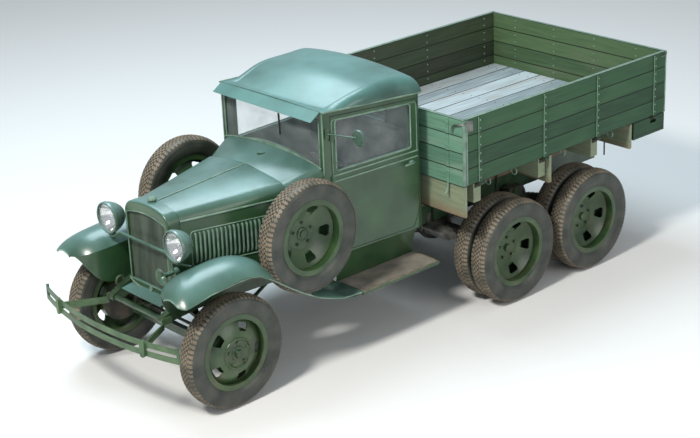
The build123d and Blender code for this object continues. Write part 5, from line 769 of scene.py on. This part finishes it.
# Each point of the handle's lever: distance b, height, and how far it stands out
HANDLE_LEVER = ((1.905, 1.345, 0.030), (1.885, 1.346, 0.034), (1.850, 1.345, 0.035), (1.822, 1.343, 0.034),
                (1.815, 1.342, 0.032))


def on_door(side, b, z, out):
    """A point on the door's face, moved outwards by out."""
    return (side * (cab_half(b) + out), st(b), z)


def head(b):
    """Height of the side window's upper edge."""
    return eave_z(b) - WINDOW_HEAD_DROP


WINDOW_LINE = (
    (1.172, 1.480), (1.172, head(1.172) - 0.02), (1.180, head(1.18) - 0.006), (1.192, head(1.192)),
    (1.880, head(1.88)), (1.892, head(1.892) - 0.006), (1.900, head(1.9) - 0.02), (1.900, 1.482),
    (1.894, 1.468), (1.880, 1.462), (1.192, 1.462), (1.178, 1.468), (1.172, 1.480),
)
for side_name, side in SIDES:
    kit = Kit(f"door_trim_{side_name}", f"door_{side_name}", highlight_trim_paint, "body_paint")
    kit.tube([on_door(side, b, z, 0.002) for b, z in WINDOW_LINE], 0.0065, 8)
    kit.tube([on_door(side, b, z, 0.0) for b, z in DOOR_EDGE], 0.004, 6)
    for z in BELT_HEIGHTS:
        kit.tube([on_door(side, b, z, 0.004) for b in (1.142, 1.4, 1.7, 1.964)], 0.0060, 8)
    kit.build()
    handle = Kit(f"door_handle_{side_name}", f"door_{side_name}", highlight_trim_paint, "body_paint")
    handle.lathe(HANDLE_ROSE, on_door(side, HANDLE_B, HANDLE_Z, 0.001), (side, -0.06, 0), 20)
    handle.tube([on_door(side, b, z, out) for b, z, out in HANDLE_LEVER], 0.0075, 10, 0.8)
    handle.build()

# Mirror: convex back and silvered face
MIRROR_BACK = ((0.004, 0.0615), (0.0, 0.0630), (-0.0065, 0.0600), (-0.0090, 0.045), (-0.0095, 0.02),
               (-0.0095, 0))
mirror_place = Vector((0.835, st(1.19), 1.768))
mirror = Kit("mirror_disc", "chassis", lamp_paint, "lamp_paint")
mirror.lathe(MIRROR_BACK, mirror_place, (0, 1, 0), 48)
mirror.build()
silver = Kit("mirror_face", "chassis", reflector, "lamp_paint")
silver.lathe(((0.0122, 0.0590), (0.0128, 0.0570), (0.0128, 0)), mirror_place, (0, 1, 0), 48)
silver.build()

# Running boards: ribbed mats on a dark base, and metal edges
RIBS, MAT_RIB_PITCH, RIB_HALF = 17, 0.0166, 0.0052
MAT_INNER_X, MAT_MIDDLE_X, MAT_HALF = 0.534, 0.667, 0.139
BOARD_EDGE = ((0.8160, 1.200), (0.8160, 2.000), (0.812, 2.0065), (0.54, 2.0065))
for side_name, side in SIDES:
    mat = Kit(f"board_mat_{side_name}", "chassis", mat_rubber, "grip")
    for k in range(RIBS):
        x = side * (MAT_INNER_X + MAT_RIB_PITCH * k)
        mat.box((x - RIB_HALF, st(1.205), 0.5300), (x + RIB_HALF, st(1.998), 0.5345), 0.0010)
    mat.build(False)
    base = Kit(f"board_base_{side_name}", "chassis", dark_metal, "grip")
    x = side * MAT_MIDDLE_X
    base.box((x - MAT_HALF, st(1.203), 0.5296), (x + MAT_HALF, st(2.000), 0.5310))
    base.build(False)
    edge = Kit(f"board_edge_{side_name}", "chassis", edge_metal, "bare_metal")
    edge.tube([(side * x, st(b), 0.5310) for x, b in BOARD_EDGE], 0.0042, 8)
    edge.build()

# Fenders: one rolled bead round the nose and along the outer edge, as distance b, X and height
FENDER_BEAD = (
    (-0.473, 0.592, 0.951), (-0.474, 0.630, 0.968), (-0.474, 0.670, 0.974), (-0.474, 0.712, 0.964),
    (-0.472, 0.748, 0.943), (-0.455, 0.782, 0.938), (-0.438, 0.802, 0.934), (-0.400, 0.812, 0.942),
    (-0.330, 0.8145, 0.958), (-0.230, 0.8145, 0.977), (-0.120, 0.8145, 0.987), (0.010, 0.8145, 0.997),
    (0.140, 0.8145, 0.996), (0.220, 0.8145, 0.976), (0.300, 0.8145, 0.932), (0.400, 0.8145, 0.860),
    (0.500, 0.8145, 0.788), (0.630, 0.8145, 0.704), (0.760, 0.8145, 0.627), (0.880, 0.8145, 0.582),
    (1.000, 0.8145, 0.545), (1.180, 0.8145, 0.531),
)
for side_name, side in SIDES:
    fender = Kit(f"fender_bead_{side_name}", "chassis", highlight_trim_paint, "body_paint")
    fender.tube([(side * x, st(b), z) for b, x, z in FENDER_BEAD], 0.0055, 8)
    fender.build()

# Bed: strap bolts, corner irons, top strips, latches, plank nails, rope hooks and stays
HINGES = (2.288, 3.037, 3.686, 4.426)
BOLT_OFFSETS = (0.035, 0.100)
BOLT_RADIUS = 0.008
TRIM_LOW, TRIM_HIGH = 1.7060, 1.7078
BED_FRONT, BED_REAR = 2.141, 4.576
SIDE_INNER_X, SIDE_OUTER_X = 0.974, 1.006
# The corner irons' low and high X: proud of the boards on the left, nearly flush with them on the right
CORNER_IRON_X = {1: (1.002, 1.0075), -1: (-1.005, -1.0045)}
# Each point of the latch rods: X, distance b and height
FRONT_ROD = ((1.010, 2.180, 1.672), (1.012, 2.150, 1.675), (1.006, 2.110, 1.674), (0.985, 2.096, 1.670),
             (0.930, 2.088, 1.660), (0.905, 2.088, 1.640), (0.900, 2.088, 1.600))
REAR_ROD = ((1.010, 4.500, 1.672), (1.010, 4.560, 1.675), (1.000, 4.580, 1.690), (0.985, 4.583, 1.696))
# Each point of the headboard's lashing hooks: distance b and height
LASHING_HOOK = (
    (2.100, 1.175), (2.098, 1.130), (2.085, 1.105), (2.078, 1.090), (2.088, 1.075), (2.104, 1.080),
)


def board_bolts(kit, places):
    """Two bolts a board at each (x, b, axis) of places."""
    for row in range(BOARD_ROWS):
        for offset in BOLT_OFFSETS:
            z = BOARD_LOW + row * BOARD_PITCH + offset
            for x, b, axis in places:
                kit.dome((x, st(b), z), axis, BOLT_RADIUS)


for side_name, side in SIDES:
    kit = Kit(f"side_irons_{side_name}", f"side_{side_name}", highlight_trim_paint, "dark_metal")
    for b in HINGES:
        board_bolts(kit, ((side * 1.013, b, (side, 0, 0)), (side * 0.975, b, (-side, 0, 0))))
        # Painted highlight: a light line down the strap's edge
        strap_edge = st(b) - 0.017
        kit.tube([(side * 1.0125, strap_edge, 1.172), (side * 1.0125, strap_edge, 1.700)], 0.0028, 6)
    low_x, high_x = CORNER_IRON_X[side]
    for b in (2.150, 4.570):
        kit.box((low_x, st(b) - 0.010, 1.172), (high_x, st(b) + 0.004, 1.703), 0.001)
    # Light strip along the side boards' top: a painted highlight on the upper edge
    low_x, high_x = sorted((side * SIDE_INNER_X, side * SIDE_OUTER_X))
    kit.box((low_x, st(BED_FRONT), TRIM_LOW), (high_x, st(BED_REAR), TRIM_HIGH), 0.0005)
    kit.build()
    latch = Kit(f"latch_{side_name}", f"side_{side_name}", bare_metal, "bare_metal")
    latch.box((side * 1.005 - 0.004, st(2.150), 1.600), (side * 1.005 + 0.004, st(2.215), 1.690), 0.002)
    for rod in (FRONT_ROD, REAR_ROD):
        latch.tube([(side * x, st(b), z) for x, b, z in rod], 0.007, 8)
    latch.build()
board_irons = Kit("headboard_irons", "chassis", highlight_trim_paint, "dark_metal")
for x in (-0.840, -0.300, 0.300, 0.840):
    board_bolts(board_irons, ((x, 2.097, (0, -1, 0)), (x, 2.135, (0, 1, 0))))
    board_irons.tube([(x, st(b), z) for b, z in LASHING_HOOK], 0.008, 8)
for x in (1.0035, -1.0035):
    board_irons.box((x - 0.003, st(2.1035), 1.170), (x + 0.003, st(2.1365), 1.704), 0.001)
# Light strip along the headboard's top: a painted highlight on the upper edge
board_irons.box((-1.004, st(2.1045), TRIM_LOW), (1.004, st(2.1355), TRIM_HIGH), 0.0005)
board_irons.build()
gate = Kit("tailgate_irons", "tailgate", highlight_trim_paint, "dark_metal")
for x in (-0.700, -0.233, 0.233, 0.700):
    board_bolts(gate, ((x, 4.585, (0, 1, 0)), (x, 4.547, (0, -1, 0))))
# Light strip along the tailgate's top: a painted highlight on the upper edge
gate.box((-0.968, st(4.548), TRIM_LOW), (0.968, st(BED_REAR), TRIM_HIGH), 0.0005)
gate.build()

PLANKS, PLANK_WIDTH, BED_INNER = 10, 0.194, 0.97
nails = Kit("floor_nails", "chassis", dark_metal, "dark_metal")
for b in HINGES:
    for k in range(PLANKS):
        for dx in (-0.05, 0.05):
            nails.dome((-BED_INNER + PLANK_WIDTH * (k + 0.5) + dx, st(b), 1.2195), (0, 0, 1), 0.006)
nails.build()

EYE_RADIUS = 0.028
hooks = Kit("rope_hooks", "chassis", highlight_trim_paint, "dark_metal")
for side in (1, -1):
    for b in (2.42, 2.72, 3.30, 3.90):
        arc = []
        for degrees in range(-110, 155, 22):
            angle = math.radians(degrees)
            x = 0.962 + EYE_RADIUS * math.sin(angle)
            arc.append((side * x, st(b), 1.125 - EYE_RADIUS * math.cos(angle)))
        hooks.tube(arc, 0.006, 8)
        hooks.tube([(side * 0.945, st(b), 1.192), (side * 0.940, st(b), 1.15)], 0.006, 8)
hooks.build()
stays = Kit("under_bits", "chassis", dark_metal, "dark_metal")
for side in (1, -1):
    stay = ((0.56, 2.07, 0.93), (0.56, 2.07, 0.70), (0.50, 2.05, 0.68))
    stays.tube([(side * x, st(b), z) for x, b, z in stay], 0.010, 8)
    for hinge_b in HINGES:
        clamp = ((0.372, 0.99), (0.428, 0.97), (0.428, 0.66))
        stays.tube([(side * x, st(hinge_b) + 0.05, z) for x, z in clamp], 0.007, 8)
stays.build()

# Bench seat: sewn cushion and backrest, as centre, half size and the side with the sewn channels
CHANNELS, SEAM_DEPTH, SEAT_CUTS = 9, 0.010, 26
CORNER_START, CORNER_TAPER = 0.8, 0.10
CUSHIONS = (("seat_cushion", (0.0, st(1.685), 1.105), (0.515, 0.202, 0.064), "top"),
            ("seat_back", (0.0, st(1.938), 1.370), (0.515, 0.050, 0.196), "front"))
for name, centre, half, sewn_side in CUSHIONS:
    mesh = bmesh.new()
    bmesh.ops.create_cube(mesh, size=2.0)
    bmesh.ops.subdivide_edges(mesh, edges=mesh.edges[:], cuts=SEAT_CUTS, use_grid_fill=True)
    for vertex in mesh.verts:
        p = vertex.co
        near_corner = [max(0, abs(value) - CORNER_START) / (1 - CORNER_START) for value in p]
        rounded = []
        for i in range(3):
            first, second = (near_corner[j] for j in range(3) if j != i)
            rounded.append(p[i] * (1 - CORNER_TAPER * first * second))
        x, y, z = (rounded[i] * half[i] for i in range(3))
        seam = SEAM_DEPTH * (1 - abs(math.sin(math.pi * (p[0] + 1) / 2 * CHANNELS)) ** 0.5)
        middle = 1 - abs(p[0]) ** 8
        if sewn_side == "top":
            z = z * (0.86 + 0.14 * middle * (1 - abs(p[1]) ** 4)) - (seam if p[2] > 0.99 else 0)
        else:
            y = y * (0.84 + 0.16 * middle * (1 - abs(p[2]) ** 4)) + (seam if p[1] < -0.99 else 0)
        vertex.co = Vector((x, y, z))
    data = bpy.data.meshes.new(name)
    mesh.to_mesh(data)
    mesh.free()
    data.materials.append(seat_hide)
    for polygon in data.polygons:
        polygon.use_smooth = True
    piece = bpy.data.objects.new(name, data)
    bpy.context.scene.collection.objects.link(piece)
    piece.location = centre
    smooth = piece.modifiers.new("smooth", "SMOOTH")
    smooth.iterations = 4
    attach(piece, "chassis")
    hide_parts("seat")

# Floor and light
ground_data = bpy.data.meshes.new("floor")
ground_mesh = bmesh.new()
bmesh.ops.create_grid(ground_mesh, x_segments=2, y_segments=2, size=60.0)
ground_mesh.to_mesh(ground_data)
ground_mesh.free()
ground = bpy.data.objects.new("floor", ground_data)
bpy.context.scene.collection.objects.link(ground)
floor_material, floor_nodes, floor_links, floor_shader = new_material("floor")
floor_shader.inputs["Base Color"].default_value = (0.80, 0.80, 0.79, 1)
floor_shader.inputs["Roughness"].default_value = 0.9
ground_data.materials.append(floor_material)

world = bpy.data.worlds.new("world")
bpy.context.scene.world = world
world.use_nodes = True
background = world.node_tree.nodes["Background"]
background.inputs["Color"].default_value = (0.86, 0.93, 1.0, 1)
background.inputs["Strength"].default_value = 0.42


def area(name, place, target, size, power, color):
    data = bpy.data.lights.new(name, "AREA")
    data.shape = "DISK"
    data.size = size
    data.energy = power
    data.color = color
    lamp = bpy.data.objects.new(name, data)
    bpy.context.scene.collection.objects.link(lamp)
    lamp.location = place
    lamp.rotation_mode = "QUATERNION"
    lamp.rotation_quaternion = (Vector(target) - Vector(place)).to_track_quat("-Z", "Y")


area("key", (2.5, -9.0, 10.5), (0, -0.5, 0.8), 2.2, 1500, (1.0, 0.97, 0.92))
area("sky", (-3.5, 1.0, 9.0), (0, 0, 1.0), 6.0, 620, (0.72, 0.90, 1.0))
area("fill", (10.0, 1.0, 4.0), (0, 0, 0.8), 6.0, 260, (1.0, 0.98, 0.95))
